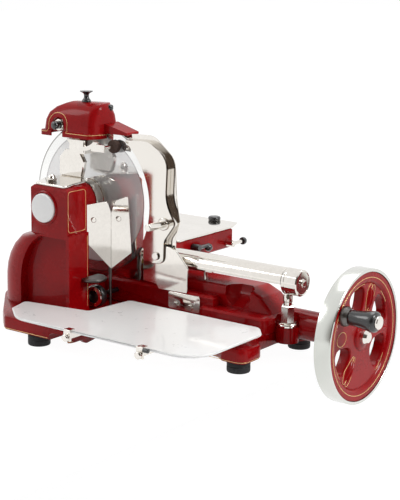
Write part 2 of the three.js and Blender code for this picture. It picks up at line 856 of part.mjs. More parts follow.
// Rail with its end cap, corner post and supports
function halfRound(radius, floor) {
  const shape = new THREE.Shape();
  const start = Math.asin((floor - rail.z) / radius);
  shape.absarc(rail.y, rail.z, radius, start, Math.PI - start, false);
  shape.closePath();
  return shape;
}
piece("rail", plate("yz", halfRound(rail.radius, rail.floor), rail.left, rail.right, 0, fineSteps), chrome);

const endCap = { radius: 25, length: 34, edge: 2, screw: 6, screwLength: 4 };
const railAt = [0, rail.y, rail.z];
const endFrom = rail.right + fit;
const endTo = endFrom + endCap.length;
const capScrew = button(
  "x",
  railAt,
  endCap.screw,
  endTo - play,
  endTo + endCap.screwLength,
  edges.middle,
  smallSides
);
piece(
  "rail_end_cap",
  join(button("x", railAt, endCap.radius, endFrom, endTo, endCap.edge), capScrew),
  chrome
);

const postTop = rail.z - endCap.radius - fit;
const postAt = [boss.x, boss.y, 0];
const postBody = join(
  rod("z", postAt, post.screw, boss.top - post.depth, boss.top + play, smallSides),
  button("z", postAt, post.washer, boss.top + fit, post.washerTop, edges.middle, midSides),
  hexagon("z", postAt, post.hex, post.washerTop - play, post.hexTop),
  rod("z", postAt, post.neck, post.hexTop - play, postTop)
);
piece("rail_post", postBody, chrome);

const saddleBlock = { left: 205, right: 275, half: 8, height: 7, stemX: 255, stem: 4 };
const saddleTop = rail.floor - fit;
const midBracket = join(
  block(
    [saddleBlock.left, saddleBlock.right],
    [rail.y - saddleBlock.half, rail.y + saddleBlock.half],
    [saddleTop - saddleBlock.height, saddleTop],
    corners.middle
  ),
  rod("z", [saddleBlock.stemX, rail.y, 0], saddleBlock.stem, wall.top + fit, saddleTop - play)
);
piece("rail_bracket", midBracket, chrome);

const endFoot = { left: -126, right: -104, half: 12 };
const endFootBody = block(
  [endFoot.left, endFoot.right],
  [rail.y - endFoot.half, rail.y + endFoot.half],
  [wall.top + fit, saddleTop],
  corners.middle
);
piece("rail_foot", endFootBody, chrome);

// Carriage that runs on the rail, its track shoe, the table on top, and two levers
const carriage = { left: -15, right: 175, front: 12, back: 232, bottom: 136, top: 176, wall: 5, edge: 3 };
const slot = { z: 3, places: [24, 138], half: 4, front: 62, back: 240 };
const saddle = { wall: 10 };
const saddleBack = rail.y + rail.radius + saddle.wall;
const railRoom = join(
  plate(
    "yz",
    disc(rail.y, rail.z, rail.radius + fit),
    carriage.left - overrun,
    carriage.right + overrun,
    0,
    fineSteps
  ),
  block(
    [carriage.left - overrun, carriage.right + overrun],
    [rail.y - rail.radius - fit, rail.y + rail.radius + fit],
    [carriage.bottom - overrun, rail.z]
  )
);
const carriageShell = block(
  [carriage.left, carriage.right],
  [carriage.front, carriage.back],
  [carriage.bottom, carriage.top],
  0,
  carriage.edge
);
const carriageHollow = block(
  [carriage.left + carriage.wall, carriage.right - carriage.wall],
  [saddleBack, carriage.back - carriage.wall],
  [carriage.bottom - overrun, carriage.top - carriage.wall - slot.z],
  corners.broad
);
const slotCuts = slot.places.map((x) =>
  block(
    [x - slot.half - fit, x + slot.half + fit],
    [slot.front - fit, carriage.back + overrun],
    [carriage.top - slot.z - fit, carriage.top + overrun]
  )
);
piece("carriage", cut(carriageShell, railRoom, carriageHollow, ...slotCuts), redEnamel);

const shoe = { left: 30, right: 130, front: 56, back: 64 };
const shoeBody = block(
  [shoe.left, shoe.right],
  [shoe.front, shoe.back],
  [wall.top + fit, carriage.bottom - fit],
  corners.small
);
piece("track_shoe", shoeBody, brass);

const table = {
  left: -15,
  right: 177,
  front: 46,
  back: 270,
  thickness: 4,
  ribFront: 84,
  ribBack: 200,
  shares: [
    [0, 0, 0.02],
    [1, 0, 0.02],
    [1, 0.83, 0.02],
    [0.92, 1, 0.02],
    [0, 1, 0.02],
  ],
};
const tableLow = carriage.top + fit;
const tableTop = tableLow + table.thickness;
const tableShape = within(table.left, table.right, table.front, table.back, table.shares);
const ribs = slot.places.map((x) =>
  block(
    [x - slot.half, x + slot.half],
    [table.ribFront, table.ribBack],
    [carriage.top - slot.z, tableLow + play]
  )
);
piece("table", join(plate("xy", tableShape, tableLow, tableTop, edges.small), ...ribs), chrome);

const stop = { x: 112, y: 256, radius: 13, height: 9 };
const stopBody = button(
  "z",
  [stop.x, stop.y, 0],
  stop.radius,
  tableTop + fit,
  tableTop + stop.height,
  edges.bold
);
piece("table_knob", stopBody, blackGloss);

const lever = { hub: 7, stem: 4, ball: 8.4, x: 190 };
const sideX = carriage.right + fit;
const frontLever = { y: 94, z: 160, ballY: 128, ballZ: 155 };
const frontLeverBody = join(
  button(
    "x",
    [0, frontLever.y, frontLever.z],
    lever.hub,
    sideX,
    lever.x + lever.stem,
    edges.small,
    smallSides
  ),
  rod("y", [lever.x, 0, frontLever.z], lever.stem, frontLever.y, frontLever.ballY),
  ball([lever.x, frontLever.ballY, frontLever.ballZ], lever.ball)
);
piece("lever_front", frontLeverBody, blackGloss);

const backLever = { y: 212, z: 148, tipY: 246, ballY: 250 };
const backArm = join(
  button("x", [0, backLever.y, backLever.z], lever.hub, sideX, lever.x + lever.stem, edges.small, smallSides),
  rod("y", [lever.x, 0, backLever.z], lever.stem, backLever.y, backLever.tipY)
);
piece("lever_back", backArm, chrome);
const backBallAt = [lever.x, backLever.ballY, backLever.z];
const tipRoom = rod("y", [lever.x, 0, backLever.z], lever.ball, 0, backLever.tipY + fit);
piece("lever_back_ball", cut(ball(backBallAt, lever.ball), tipRoom), blackGloss);

// Plates behind and beside the blade: back plate, gauge plates with screw and stud, lower plate, bracket
const backPlate = { left: -140, right: 118, front: 2.5, thickness: 2, top: 175 };
const sillTop = sill.top + fit;
const backPlateBody = plate(
  "xz",
  rectangle(backPlate.left, backPlate.right, sillTop, backPlate.top, plan.edge),
  backPlate.front,
  backPlate.front + backPlate.thickness
);
piece("back_plate", backPlateBody, chrome);

const gaugeRoom = 3;
const gaugeArc = blade.radius + gaugeRoom;
const arcRoom = rod("y", bladeAt, gaugeArc, -overrun, overrun, broadSides);
const mainPlate = {
  left: 95,
  right: 216,
  low: 150,
  high: 390,
  front: -2,
  back: 1.5,
  shares: [
    [0.02, 0.99],
    [0.46, 1, 0.16],
    [0.89, 0.83, 0.16],
    [0.93, 0.5, 0.3],
    [1, 0.33, 0.04],
    [0.91, 0.2, 0.06],
    [0.91, 0, 0.03],
    [0.3, 0, 0.03],
  ],
};
const mainShape = within(mainPlate.left, mainPlate.right, mainPlate.low, mainPlate.high, mainPlate.shares);
piece("gauge_plate", cut(plate("xz", mainShape, mainPlate.front, mainPlate.back, play), arcRoom), chrome);

const frontLayer = {
  left: 92,
  right: 214,
  low: 145,
  high: 379,
  front: -16,
  seam: -12.1,
  lip: 182,
  shares: [
    [0, 0.99],
    [0.46, 1, 0.15],
    [0.84, 0.88, 0.16],
    [0.81, 0.52, 0.3],
    [1, 0.35, 0.04],
    [0.79, 0.2, 0.08],
    [0.78, 0, 0.06],
    [0.5, 0, 0.06],
    [0.36, 0.12, 0.03],
  ],
};
const layerShape = within(
  frontLayer.left,
  frontLayer.right,
  frontLayer.low,
  frontLayer.high,
  frontLayer.shares
);
const layerBody = cut(
  plate("xz", layerShape, frontLayer.front, mainPlate.front - fit, play),
  arcRoom,
  block(
    [frontLayer.left - overrun, frontLayer.right + overrun],
    [frontLayer.seam, mainPlate.front],
    [frontLayer.low - overrun, frontLayer.lip]
  )
);
const gaugeScrew = { x: 170, z: 160, radius: 8, length: 4 };
const screwAt = [gaugeScrew.x, frontLayer.front, gaugeScrew.z];
const screwHead = button("y", screwAt, gaugeScrew.radius, -gaugeScrew.length, play, edges.small, smallSides);
piece("gauge_front", join(layerBody, screwHead), chrome);

const lowerPlate = {
  left: 135,
  right: 242,
  low: 95,
  high: 181,
  front: -11.8,
  back: -8.3,
  shares: [
    [0, 0.95],
    [0, 0.13, 0.03],
    [0.31, 0.1, 0.03],
    [0.36, 0, 0.03],
    [1, 0.02, 0.03],
    [1, 0.6, 0.05],
    [0.76, 0.92, 0.05],
    [0.6, 1, 0.03],
    [0.1, 1],
  ],
};
const lowerShape = within(
  lowerPlate.left,
  lowerPlate.right,
  lowerPlate.low,
  lowerPlate.high,
  lowerPlate.shares
);
const lowerSheet = cut(plate("xz", lowerShape, lowerPlate.front, lowerPlate.back, play), arcRoom);
const spacer = { left: 150, right: 200, low: 152, high: 176 };
const spacerBody = block(
  [spacer.left, spacer.right],
  [lowerPlate.back - play, mainPlate.front - fit],
  [spacer.low, spacer.high],
  corners.tight
);
piece("lower_plate", join(lowerSheet, spacerBody), chrome);

const bracket = { left: 197, right: 272, low: 62, thickness: 3.5, round: 4 };
const bracketBack = sill.front - fit;
const bracketFront = bracketBack - bracket.thickness;
const gaugePins = gauge.pinX.map((x) =>
  rod("y", [x, 0, gauge.pinZ], gauge.pin, bracketBack - play, sill.front + gauge.reach - fit)
);
const bracketShape = rectangle(bracket.left, bracket.right, bracket.low, lowerPlate.low - fit, bracket.round);
const bracketScrew = { radius: 6, length: 3 };
const bracketScrews = gauge.pinX.map((x) =>
  button(
    "y",
    [x, bracketFront, gauge.pinZ],
    bracketScrew.radius,
    -bracketScrew.length,
    play,
    edges.fine,
    smallSides
  )
);
const bracketPlate = plate("xz", bracketShape, bracketFront, bracketBack, play);
piece("gauge_bracket", join(bracketPlate, ...gaugePins, ...bracketScrews), chrome);

const stud = { x: 188, z: 225, radius: 7, length: 50, flange: 12, flangeLength: 4 };
const studAt = [stud.x, frontLayer.front - fit, stud.z];
const studBody = join(
  button("y", studAt, stud.radius, -stud.length, 0, edges.small, smallSides),
  button("y", studAt, stud.flange, -stud.flangeLength, 0, edges.small)
);
piece("gauge_stud", studBody, chrome);

// Thickness knob with its ring, in front of the sill
const knobAt = [knob.x, knob.y, knob.z];
const knobHalf = knob.width / 2;
const knobBody = join(
  button("y", knobAt, knob.radius, -knobHalf, knobHalf, edges.broad),
  rod("y", knobAt, knob.stem, 0, sill.front + knob.reach - fit - knob.y)
);
piece("thickness_knob", knobBody, blackGloss);
const knobRing = { outer: 20, inner: 13, length: 3 };
const knobRingProfile = [
  [knobRing.inner, -knobHalf - fit - knobRing.length],
  [knobRing.outer, -knobHalf - fit - knobRing.length],
  [knobRing.outer, -knobHalf - fit],
  [knobRing.inner, -knobHalf - fit],
  [knobRing.inner, -knobHalf - fit - knobRing.length],
];
piece("knob_ring", turned("y", knobAt, knobRingProfile, midSides), chrome);

// Slice deflector: two wings with their screws in front of the blade, their rod and the tongue
const wing = {
  thickness: 2,
  sheet: [49.5, -87.4],
  seam: [82, -45],
  tip: [104, -9],
  seamGap: 0.5,
  low: 127,
  high: 268,
};
const wingScrew = { radius: 5, length: 4, z: 225 };
const wingScrewShare = 0.35;

function wingBody(from, to, shares) {
  const run = new THREE.Vector2(to[0] - from[0], to[1] - from[1]);
  const shape = within(wing.seamGap / 2, run.length() - wing.seamGap / 2, wing.low, wing.high, shares);
  const sheet = plate("xz", shape, 0, wing.thickness);
  const screwAt = [run.length() * wingScrewShare, 0, wingScrew.z];
  const head = button("y", screwAt, wingScrew.radius, -wingScrew.length, play, edges.small, smallSides);
  return join(sheet, head).rotate([0, 0, THREE.MathUtils.radToDeg(run.angle())]).translate([...from, 0]);
}
const leftShares = [
  [0, 0.42],
  [1, 0],
  [1, 0.79, 0.04],
  [0.86, 0.95, 0.06],
  [0, 0.9, 0.02],
];
const rightShares = [
  [0, 0],
  [1, 0.2, 0.02],
  [0.96, 0.4],
  [0.82, 1, 0.02],
  [0.2, 0.95, 0.06],
  [0, 0.79, 0.04],
];

const seamRun = new THREE.Vector2(wing.tip[0] - wing.sheet[0], wing.tip[1] - wing.sheet[1]).normalize();
const wingRod = { radius: 3, top: 205 };
const rodReach = wing.thickness + fit + wingRod.radius + play;
const rodAt = [wing.seam[0] - seamRun.y * rodReach, wing.seam[1] + seamRun.x * rodReach, 0];
piece("deflector_rod", rod("z", rodAt, wingRod.radius, base.top + fit, wingRod.top), darkSteel);

const wingNames = ["deflector_left", "deflector_right"];
[leftShares, rightShares].forEach((shares, i) => {
  const [from, to] = [[wing.sheet, wing.seam], [wing.seam, wing.tip]][i];
  piece(wingNames[i], wingBody(from, to, shares), chrome);
});

const tongue = { x: 70, y: -85, radius: 27, low: 109, high: 117, edge: 2.5 };
const tongueBody = cut(
  button("z", [tongue.x, tongue.y, 0], tongue.radius, tongue.low, tongue.high, tongue.edge),
  block(
    [-overrun, flare.right + fit],
    [tongue.y - overrun, tongue.y + overrun],
    [tongue.low - play, tongue.high + play]
  )
);
piece("deflector_arm", tongueBody, chrome);

// Sharpener: frame that reaches over the blade, two stones, knobs, and the red cover
const frame = {
  front: -52,
  pedestalBack: -42,
  left: -46,
  right: 20,
  shoulder: 352,
  armHalf: 20,
  armTop: 372,
  riserHalf: 10,
  riser: [-29, -8],
  bridgeLow: 405,
  bridgeHigh: 416,
  bridge: [-66, 22],
  bridgeDeep: [-26, 8],
  sideArm: 16,
  sideLow: 385,
  sideFront: -36,
  stem: 4,
  stemX: -11,
  stemY: -9,
  shares: [
    [0, 0, 0.08],
    [0.88, 0, 0.08],
    [1, 0.6, 0.1],
    [0.8, 1, 0.1],
    [0.25, 1, 0.1],
    [0.02, 0.7, 0.1],
  ],
};
const yoke = { x: 14, z: 402, outer: 50, inner: 42, top: 372, back: -46, overlap: 6 };
const grinder = { x: 62, z: 361, radius: 13, front: -18, back: -6, spindle: 4, arm: 7 };
const honer = { x: 18, y: 7.5, z: 382, radius: 10, half: 4, spindle: 3 };
const cover = {
  left: -105,
  right: 47,
  front: -45,
  back: 27,
  wall: 3,
  levels: [373, 383, 384.5, 404, 420, 433, 442, 446],
  insetsAlong: [0, 0, 6, 9, 16, 30, 50, 62],
  insetsAcross: [0, 0, 6, 8, 12, 20, 29, 33],
  round: 12,
  cornerSteps: 4,
};
const cornerShare = 5 / 11;
const coverSlot = 4;
const arch = { x: -58, half: 15, round: 14, top: 411 };
const tail = { left: 40, right: 92, low: 384, tipHigh: 389, high: 404, front: -10, back: 26.5 };

function coverRing(z, along, across, shrink) {
  const left = cover.left + along + shrink;
  const right = cover.right - along - shrink;
  const front = cover.front + across + shrink;
  const back = cover.back - across - shrink;
  const corner = Math.min(cover.round, (back - front) * cornerShare, (right - left) * cornerShare);
  const ringPoints = [];
  for (let quarter = 0; quarter < 4; quarter++) {
    const middleX = quarter === 0 || quarter === 3 ? right - corner : left + corner;
    const middleY = quarter < 2 ? back - corner : front + corner;
    for (let i = 0; i <= cover.cornerSteps; i++) {
      const angle = (quarter + i / cover.cornerSteps) * (Math.PI / 2);
      const x = middleX + corner * Math.cos(angle);
      const y = middleY + corner * Math.sin(angle);
      ringPoints.push(new THREE.Vector3(x, y, z));
    }
  }
  return ringPoints;
}

function coverSkin(shrink) {
  return loft(
    cover.levels.map((z, i) => {
      const low = i ? z - shrink : z - (shrink ? overrun : 0);
      return coverRing(low, cover.insetsAlong[i], cover.insetsAcross[i], shrink);
    })
  );
}

const coverTop = cover.levels.at(-1);
const coverInside = coverTop - cover.wall;
const tailShape = outline([
  [tail.left, tail.low],
  [tail.right, tail.low, corners.small],
  [tail.right, tail.tipHigh, corners.small],
  [tail.left, tail.high],
]);
const archShape = rectangle(
  arch.x - arch.half,
  arch.x + arch.half,
  cover.levels[0] - overrun,
  arch.top,
  arch.round
);
const coverBody = cut(
  join(coverSkin(0), plate("xz", tailShape, tail.front, tail.back)),
  coverSkin(cover.wall),
  plate("xz", archShape, cover.front - overrun, cover.front + 2 * cover.round),
  rod("y", bladeAt, gaugeArc, -coverSlot, coverSlot, broadSides),
  rod("z", [frame.stemX, frame.stemY, 0], frame.stem + fit, coverInside - overrun, coverInside - play)
);
piece("sharpener_cover", coverBody, redEnamel);

const pedestalShape = within(frame.left, frame.right, capTop + fit, frame.shoulder, frame.shares);
const frameBody = join(
  plate("xz", pedestalShape, frame.front, frame.pedestalBack, edges.broad),
  block(
    [-frame.armHalf, frame.armHalf],
    [frame.front, frame.riser[1]],
    [frame.shoulder - yoke.overlap, frame.armTop],
    corners.middle
  ),
  block([-frame.riserHalf, frame.riserHalf], frame.riser, [frame.shoulder, frame.bridgeHigh]),
  block(frame.bridge, frame.bridgeDeep, [frame.bridgeLow, frame.bridgeHigh], corners.broad),
  block(
    [frame.bridge[0], frame.bridge[0] + frame.sideArm],
    [frame.sideFront, frame.riser[1]],
    [frame.sideLow, frame.bridgeLow + play],
    corners.small
  ),
  rod("z", [frame.stemX, frame.stemY, 0], frame.stem, frame.bridgeHigh - play, coverInside - play - fit),
  rod("z", [honer.x, honer.y, 0], honer.spindle, honer.z + honer.radius + fit, frame.bridgeLow + play)
);

// Half round yoke in front, with the arm and spindle of the grinding stone
const yokeBody = join(
  cut(
    rod("y", [yoke.x, 0, yoke.z], yoke.outer, frame.front, yoke.back, roundSides),
    rod("y", [yoke.x, 0, yoke.z], yoke.inner, frame.front - play, yoke.back + play, roundSides),
    block(
      [yoke.x - overrun, yoke.x + overrun],
      [frame.front - play, yoke.back + play],
      [yoke.top, yoke.z + overrun]
    )
  ),
  block(
    [yoke.x + yoke.inner / 2, grinder.x + grinder.arm],
    [frame.front, yoke.back],
    [grinder.z - grinder.arm, grinder.z + grinder.arm],
    corners.middle
  ),
  rod("y", [grinder.x, 0, grinder.z], grinder.spindle, yoke.back - play, grinder.front - fit)
);
piece("sharpener_frame", join(frameBody, yokeBody), chrome);

const grinderAt = [grinder.x, 0, grinder.z];
const grindingBody = button(
  "y",
  grinderAt,
  grinder.radius,
  grinder.front,
  grinder.back,
  edges.middle,
  midSides
);
piece("grinding_stone", grindingBody, stone);
const honerAt = [honer.x, honer.y, honer.z];
piece(
  "honing_stone",
  button("y", honerAt, honer.radius, -honer.half, honer.half, edges.small, midSides),
  stone
);

const tailStud = { y: 14, radius: 7, left: 58, right: 92 };
const tailStudAt = [0, tailStud.y, tail.low - fit - tailStud.radius];
const tailStudBody = button(
  "x",
  tailStudAt,
  tailStud.radius,
  tailStud.left,
  tailStud.right,
  edges.middle,
  smallSides
);
piece("tail_stud", tailStudBody, chrome);

// Knobs of the sharpener: pressing knob in the arch with its collar, lifting knob on the cover
const presser = { z: 395, radius: 8, front: -54, back: -40, collar: 11.5, collarBack: -36.3 };
const presserAt = [arch.x, 0, presser.z];
const presserBody = button(
  "y",
  presserAt,
  presser.radius,
  presser.front,
  presser.back,
  edges.broad,
  smallSides
);
piece("presser_knob", presserBody, blackGloss);
const presserCollar = button(
  "y",
  presserAt,
  presser.collar,
  presser.back + fit,
  presser.collarBack,
  edges.small,
  midSides
);
piece("presser_collar", presserCollar, chrome);

const lifter = { foot: 8, neck: 5, top: 13, height: 17 };
const lifterShares = { foot: 0.2, neckLow: 0.4, neckHigh: 0.6, top: 0.9 };
const lifterAt = [frame.stemX, frame.stemY, coverTop + fit];
const lifterProfile = [
  [0, 0],
  [lifter.foot, 0],
  [lifter.foot, lifter.height * lifterShares.foot],
  [lifter.neck, lifter.height * lifterShares.neckLow],
  [lifter.neck, lifter.height * lifterShares.neckHigh],
  [lifter.top, lifter.height * lifterShares.top],
  [lifter.top - play, lifter.height],
  [0, lifter.height],
];
piece("cover_knob", turned("z", lifterAt, lifterProfile, midSides), blackGloss);

export default slicer;
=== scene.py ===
import json
import math

import bmesh
import bpy
from mathutils import Matrix, Vector
from mathutils.bvhtree import BVHTree

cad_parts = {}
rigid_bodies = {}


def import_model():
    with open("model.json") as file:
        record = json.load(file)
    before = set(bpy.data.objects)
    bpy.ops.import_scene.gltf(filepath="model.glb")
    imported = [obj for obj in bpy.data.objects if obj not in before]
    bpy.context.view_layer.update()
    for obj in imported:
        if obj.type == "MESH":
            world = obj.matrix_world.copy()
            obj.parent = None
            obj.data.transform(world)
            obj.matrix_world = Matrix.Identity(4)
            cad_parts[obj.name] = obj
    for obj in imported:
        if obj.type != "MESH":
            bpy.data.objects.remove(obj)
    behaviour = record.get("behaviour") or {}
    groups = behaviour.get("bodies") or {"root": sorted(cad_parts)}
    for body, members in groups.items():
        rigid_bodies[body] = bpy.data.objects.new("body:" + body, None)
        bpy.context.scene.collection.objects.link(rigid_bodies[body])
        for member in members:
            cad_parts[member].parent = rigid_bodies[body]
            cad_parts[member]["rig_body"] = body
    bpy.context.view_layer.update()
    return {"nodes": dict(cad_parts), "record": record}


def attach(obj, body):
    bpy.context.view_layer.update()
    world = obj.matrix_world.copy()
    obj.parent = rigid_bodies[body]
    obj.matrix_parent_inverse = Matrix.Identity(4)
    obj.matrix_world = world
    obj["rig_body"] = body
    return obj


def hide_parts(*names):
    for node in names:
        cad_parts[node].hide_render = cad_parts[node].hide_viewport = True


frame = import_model()
scene = bpy.context.scene

# Camera: stands in front of the machine's right corner, a little above the blade, with a long lens.
# The picture is 400 wide and 500 high, so the sensor's long side is upright.
turn, climb, roll = (math.radians(a) for a in (36.1, 12.83, 0.86))
stands_at = (1.7082, -1.9825, 0.7415)
focal_pixels, picture_high, sensor_long = 1334.2, 500, 36
look = Vector((-math.sin(turn) * math.cos(climb), math.cos(turn) * math.cos(climb), -math.sin(climb)))
level = Vector((math.cos(turn), math.sin(turn), 0))
rise = level.cross(look)
across = level * math.cos(roll) + rise * math.sin(roll)
upward = rise * math.cos(roll) - level * math.sin(roll)
camera = bpy.data.objects.new("camera", bpy.data.cameras.new("camera"))
scene.collection.objects.link(camera)
camera.data.lens = sensor_long * focal_pixels / picture_high
placing = Matrix((across, upward, -look)).transposed().to_4x4()
placing.translation = stands_at
camera.matrix_world = placing
scene.camera = camera

# Base casting: a cast iron bed with its body, track wall and shaft nose, and the lid under the gears.
# It is filled, rubbed down and sprayed with a deep red gloss enamel, and lies on four rubber feet.
body_of = {n: b for b, group in frame["record"]["behaviour"]["bodies"].items() for n in group}


def new_finish(name):
    finish = bpy.data.materials.new(name)
    finish.use_nodes = True
    return finish, finish.node_tree.nodes, finish.node_tree.links, finish.node_tree.nodes["Principled BSDF"]


def unevenness():
    """Two sizes of soft mottling over a surface, given out as a mask and a height."""
    group = bpy.data.node_groups.new("unevenness", "ShaderNodeTree")
    for word, way in (("Scale", "INPUT"), ("Fine share", "INPUT"), ("Mask", "OUTPUT"), ("Height", "OUTPUT")):
        group.interface.new_socket(word, in_out=way, socket_type="NodeSocketFloat")
    nodes, links = group.nodes, group.links
    entry, leave = nodes.new("NodeGroupInput"), nodes.new("NodeGroupOutput")
    place = nodes.new("ShaderNodeTexCoord")
    broad, fine = nodes.new("ShaderNodeTexNoise"), nodes.new("ShaderNodeTexNoise")
    broad.inputs["Detail"].default_value = 3
    fine.inputs["Detail"].default_value = 2
    finer = nodes.new("ShaderNodeMath")
    finer.operation = "MULTIPLY"
    finer.inputs[1].default_value = 9
    both = nodes.new("ShaderNodeMix")
    for noise in (broad, fine):
        links.new(place.outputs["Object"], noise.inputs["Vector"])
    links.new(entry.outputs["Scale"], broad.inputs["Scale"])
    links.new(entry.outputs["Scale"], finer.inputs[0])
    links.new(finer.outputs[0], fine.inputs["Scale"])
    links.new(entry.outputs["Fine share"], both.inputs[0])
    links.new(broad.outputs[0], both.inputs[2])
    links.new(fine.outputs[0], both.inputs[3])
    links.new(both.outputs[0], leave.inputs["Mask"])
    links.new(fine.outputs[0], leave.inputs["Height"])
    return group


mottle = unevenness()


def mottled(finish_parts, scale, fine, rough, tones=None, relief=0.0, depth=0.0002):
    """Spreads roughness between two values, and colour between two tones, over the mottling."""
    finish, nodes, links, shader = finish_parts
    spread = nodes.new("ShaderNodeGroup")
    spread.node_tree = mottle
    spread.inputs["Scale"].default_value = scale
    spread.inputs["Fine share"].default_value = fine
    span = nodes.new("ShaderNodeMapRange")
    span.inputs["From Min"].default_value = 0.3
    span.inputs["From Max"].default_value = 0.7
    span.inputs["To Min"].default_value, span.inputs["To Max"].default_value = rough
    links.new(spread.outputs["Mask"], span.inputs["Value"])
    links.new(span.outputs["Result"], shader.inputs["Roughness"])
    if tones:
        ramp = nodes.new("ShaderNodeValToRGB")
        ramp.color_ramp.elements[0].position, ramp.color_ramp.elements[1].position = 0.35, 0.65
        for element, tone in zip(ramp.color_ramp.elements, tones):
            element.color = (*tone, 1)
        links.new(spread.outputs["Mask"], ramp.inputs["Fac"])
        links.new(ramp.outputs["Color"], shader.inputs["Base Color"])
    if relief:
        bump = nodes.new("ShaderNodeBump")
        bump.inputs["Strength"].default_value = relief
        bump.inputs["Distance"].default_value = depth
        links.new(spread.outputs["Height"], bump.inputs["Height"])
        links.new(bump.outputs["Normal"], shader.inputs["Normal"])
    return finish


enamel = new_finish("red_enamel")
enamel[3].inputs["Specular IOR Level"].default_value = 0.1
enamel[3].inputs["Coat Weight"].default_value = 0.2
enamel[3].inputs["Coat Roughness"].default_value = 0.02
red_enamel = mottled(enamel, 14, 0.25, (0.2, 0.34), ((0.25, 0.0012, 0.0025), (0.34, 0.0018, 0.0035)), 0.03)


def dressed(node, finish, edge=0.8, crease=32):
    """The node's own form with welded skin, softened edges and smooth shading, in the node's place."""
    form = bmesh.new()
    form.from_mesh(frame["nodes"][node].data)
    bmesh.ops.remove_doubles(form, verts=form.verts, dist=2e-6)
    bmesh.ops.dissolve_limit(form, angle_limit=math.radians(0.4), verts=form.verts, edges=form.edges)
    mesh = bpy.data.meshes.new(node + "_skin")
    form.to_mesh(mesh)
    form.free()
    return fitted(mesh, node + "_skin", finish, [node], edge, crease)


def fitted(mesh, name, finish, nodes, edge=0.0, crease=32):
    mesh.polygons.foreach_set("use_smooth", [True] * len(mesh.polygons))
    mesh.set_sharp_from_angle(angle=math.radians(crease))
    mesh.materials.append(finish)
    skin = bpy.data.objects.new(name, mesh)
    scene.collection.objects.link(skin)
    if edge:
        softened = skin.modifiers.new("softened", "BEVEL")
        softened.width = edge / 1000
        softened.segments = 2
        softened.limit_method = "ANGLE"
        softened.angle_limit = math.radians(crease + 8)
        softened.harden_normals = True
    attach(skin, body_of[nodes[0]])
    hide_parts(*nodes)
    return skin


base = dressed("base", red_enamel, 1.0)
dressed("base_cover", red_enamel, 0.6)


def lathe(name, axis, at, profile, finish, nodes, steps=96, crease=25):
    """A turned piece: the profile holds [radius, place along the axis] in millimetres."""
    form = bmesh.new()
    x, y, z = (v / 1000 for v in at)
    rings = []
    for radius, along in profile:
        ring = []
        for k in range(steps if radius else 1):
            a = 2 * math.pi * k / steps
            u, v, w = radius * math.cos(a) / 1000, radius * math.sin(a) / 1000, along / 1000
            place = {"x": (w, u, v), "y": (v, w, u), "z": (u, v, w)}[axis]
            ring.append(form.verts.new((place[0] + x, place[1] + y, place[2] + z)))
        rings.append(ring)
    for lower, upper in zip(rings, rings[1:]):
        for k in range(steps):
            corners = [lower[k % len(lower)], lower[(k + 1) % len(lower)]]
            corners += [upper[(k + 1) % len(upper)], upper[k % len(upper)]]
            corners = list(dict.fromkeys(corners))
            if len(corners) > 2:
                form.faces.new(corners)
    bmesh.ops.recalc_face_normals(form, faces=form.faces)
    mesh = bpy.data.meshes.new(name)
    form.to_mesh(mesh)
    form.free()
    return fitted(mesh, name, finish, nodes, 0, crease)


rubber = new_finish("foot_rubber")
rubber_black = mottled(rubber, 60, 0.6, (0.6, 0.85), ((0.010, 0.010, 0.011), (0.022, 0.022, 0.024)), 0.3)
foot_places = {"front_left": (31, -196, 0), "front_right": (421, -95, 0)}
foot_places |= {"back_right": (427, 99, 0), "back_left": (-110, 92, 0)}
profile = [(0, 0), (19, 0), (20.6, 0.6), (21.3, 1.8), (21.5, 3.5), (21.5, 11), (20.6, 12), (20.6, 13)]
profile += [(21.5, 14), (21.5, 19), (20.8, 21), (19, 21.7), (0, 21.7)]
for corner, foot_at in foot_places.items():
    foot = "foot_" + corner
    lathe(foot + "_pad", "z", foot_at, profile, rubber_black, [foot], 64)

# Column: a hollow casting that carries the blade's shaft, with a flared lower body and a sunk panel.
# A chromed plate and a domed nut close its box, and a white enamelled disc sits in a raised ring in front.
column = dressed("column", red_enamel, 1.2, 34)
polish = new_finish("chrome_plating")
polish[3].inputs["Metallic"].default_value = 1.0
chrome = mottled(polish, 22, 0.4, (0.045, 0.12), ((0.76, 0.725, 0.675), (0.83, 0.795, 0.745)), 0.02)
dressed("column_top_plate", chrome, 0.5)
dressed("cap_nut", chrome, 0.3)
glaze = new_finish("white_glaze")
glaze[3].inputs["Coat Weight"].default_value = 0.6
glaze[3].inputs["Coat Roughness"].default_value = 0.08
white_glaze = mottled(glaze, 18, 0.4, (0.25, 0.4), ((0.89, 0.88, 0.86), (0.92, 0.91, 0.89)))
profile = [(0, -7), (18, -6.9), (25, -6.5), (27.3, -5.8), (28, -4.8), (28, -0.3), (0, -0.3)]
seat_in_ring = (0, -145, 252)
lathe("medallion_disc", "y", seat_in_ring, profile, white_glaze, ["medallion"], crease=50)

# Blade: a ground steel disc, bevelled on its front, on a chromed hub and the shaft that drives it. The
# grinding leaves fine rings round the middle. The bevel is polished brighter, and its colour also carries a
# painted highlight; the colour is darker in a line where the bevel begins and at the edge.
blade_at = (0, 0, 252)
blade_radius = 0.15
ground = new_finish("ground_steel")
nodes, links = ground[1], ground[2]
place = nodes.new("ShaderNodeTexCoord")
middle = nodes.new("ShaderNodeVectorMath")
middle.operation = "SUBTRACT"
middle.inputs[1].default_value = Vector(blade_at) / 1000
away = nodes.new("ShaderNodeVectorMath")
away.operation = "LENGTH"
rings = nodes.new("ShaderNodeTexNoise")
rings.noise_dimensions = "1D"
rings.inputs["Scale"].default_value = 900
rings.inputs["Detail"].default_value = 3
rough = nodes.new("ShaderNodeMapRange")
rough.inputs["To Min"].default_value, rough.inputs["To Max"].default_value = 0.015, 0.05
links.new(place.outputs["Object"], middle.inputs[0])
links.new(middle.outputs[0], away.inputs[0])
links.new(away.outputs["Value"], rings.inputs["W"])
links.new(rings.outputs[0], rough.inputs["Value"])
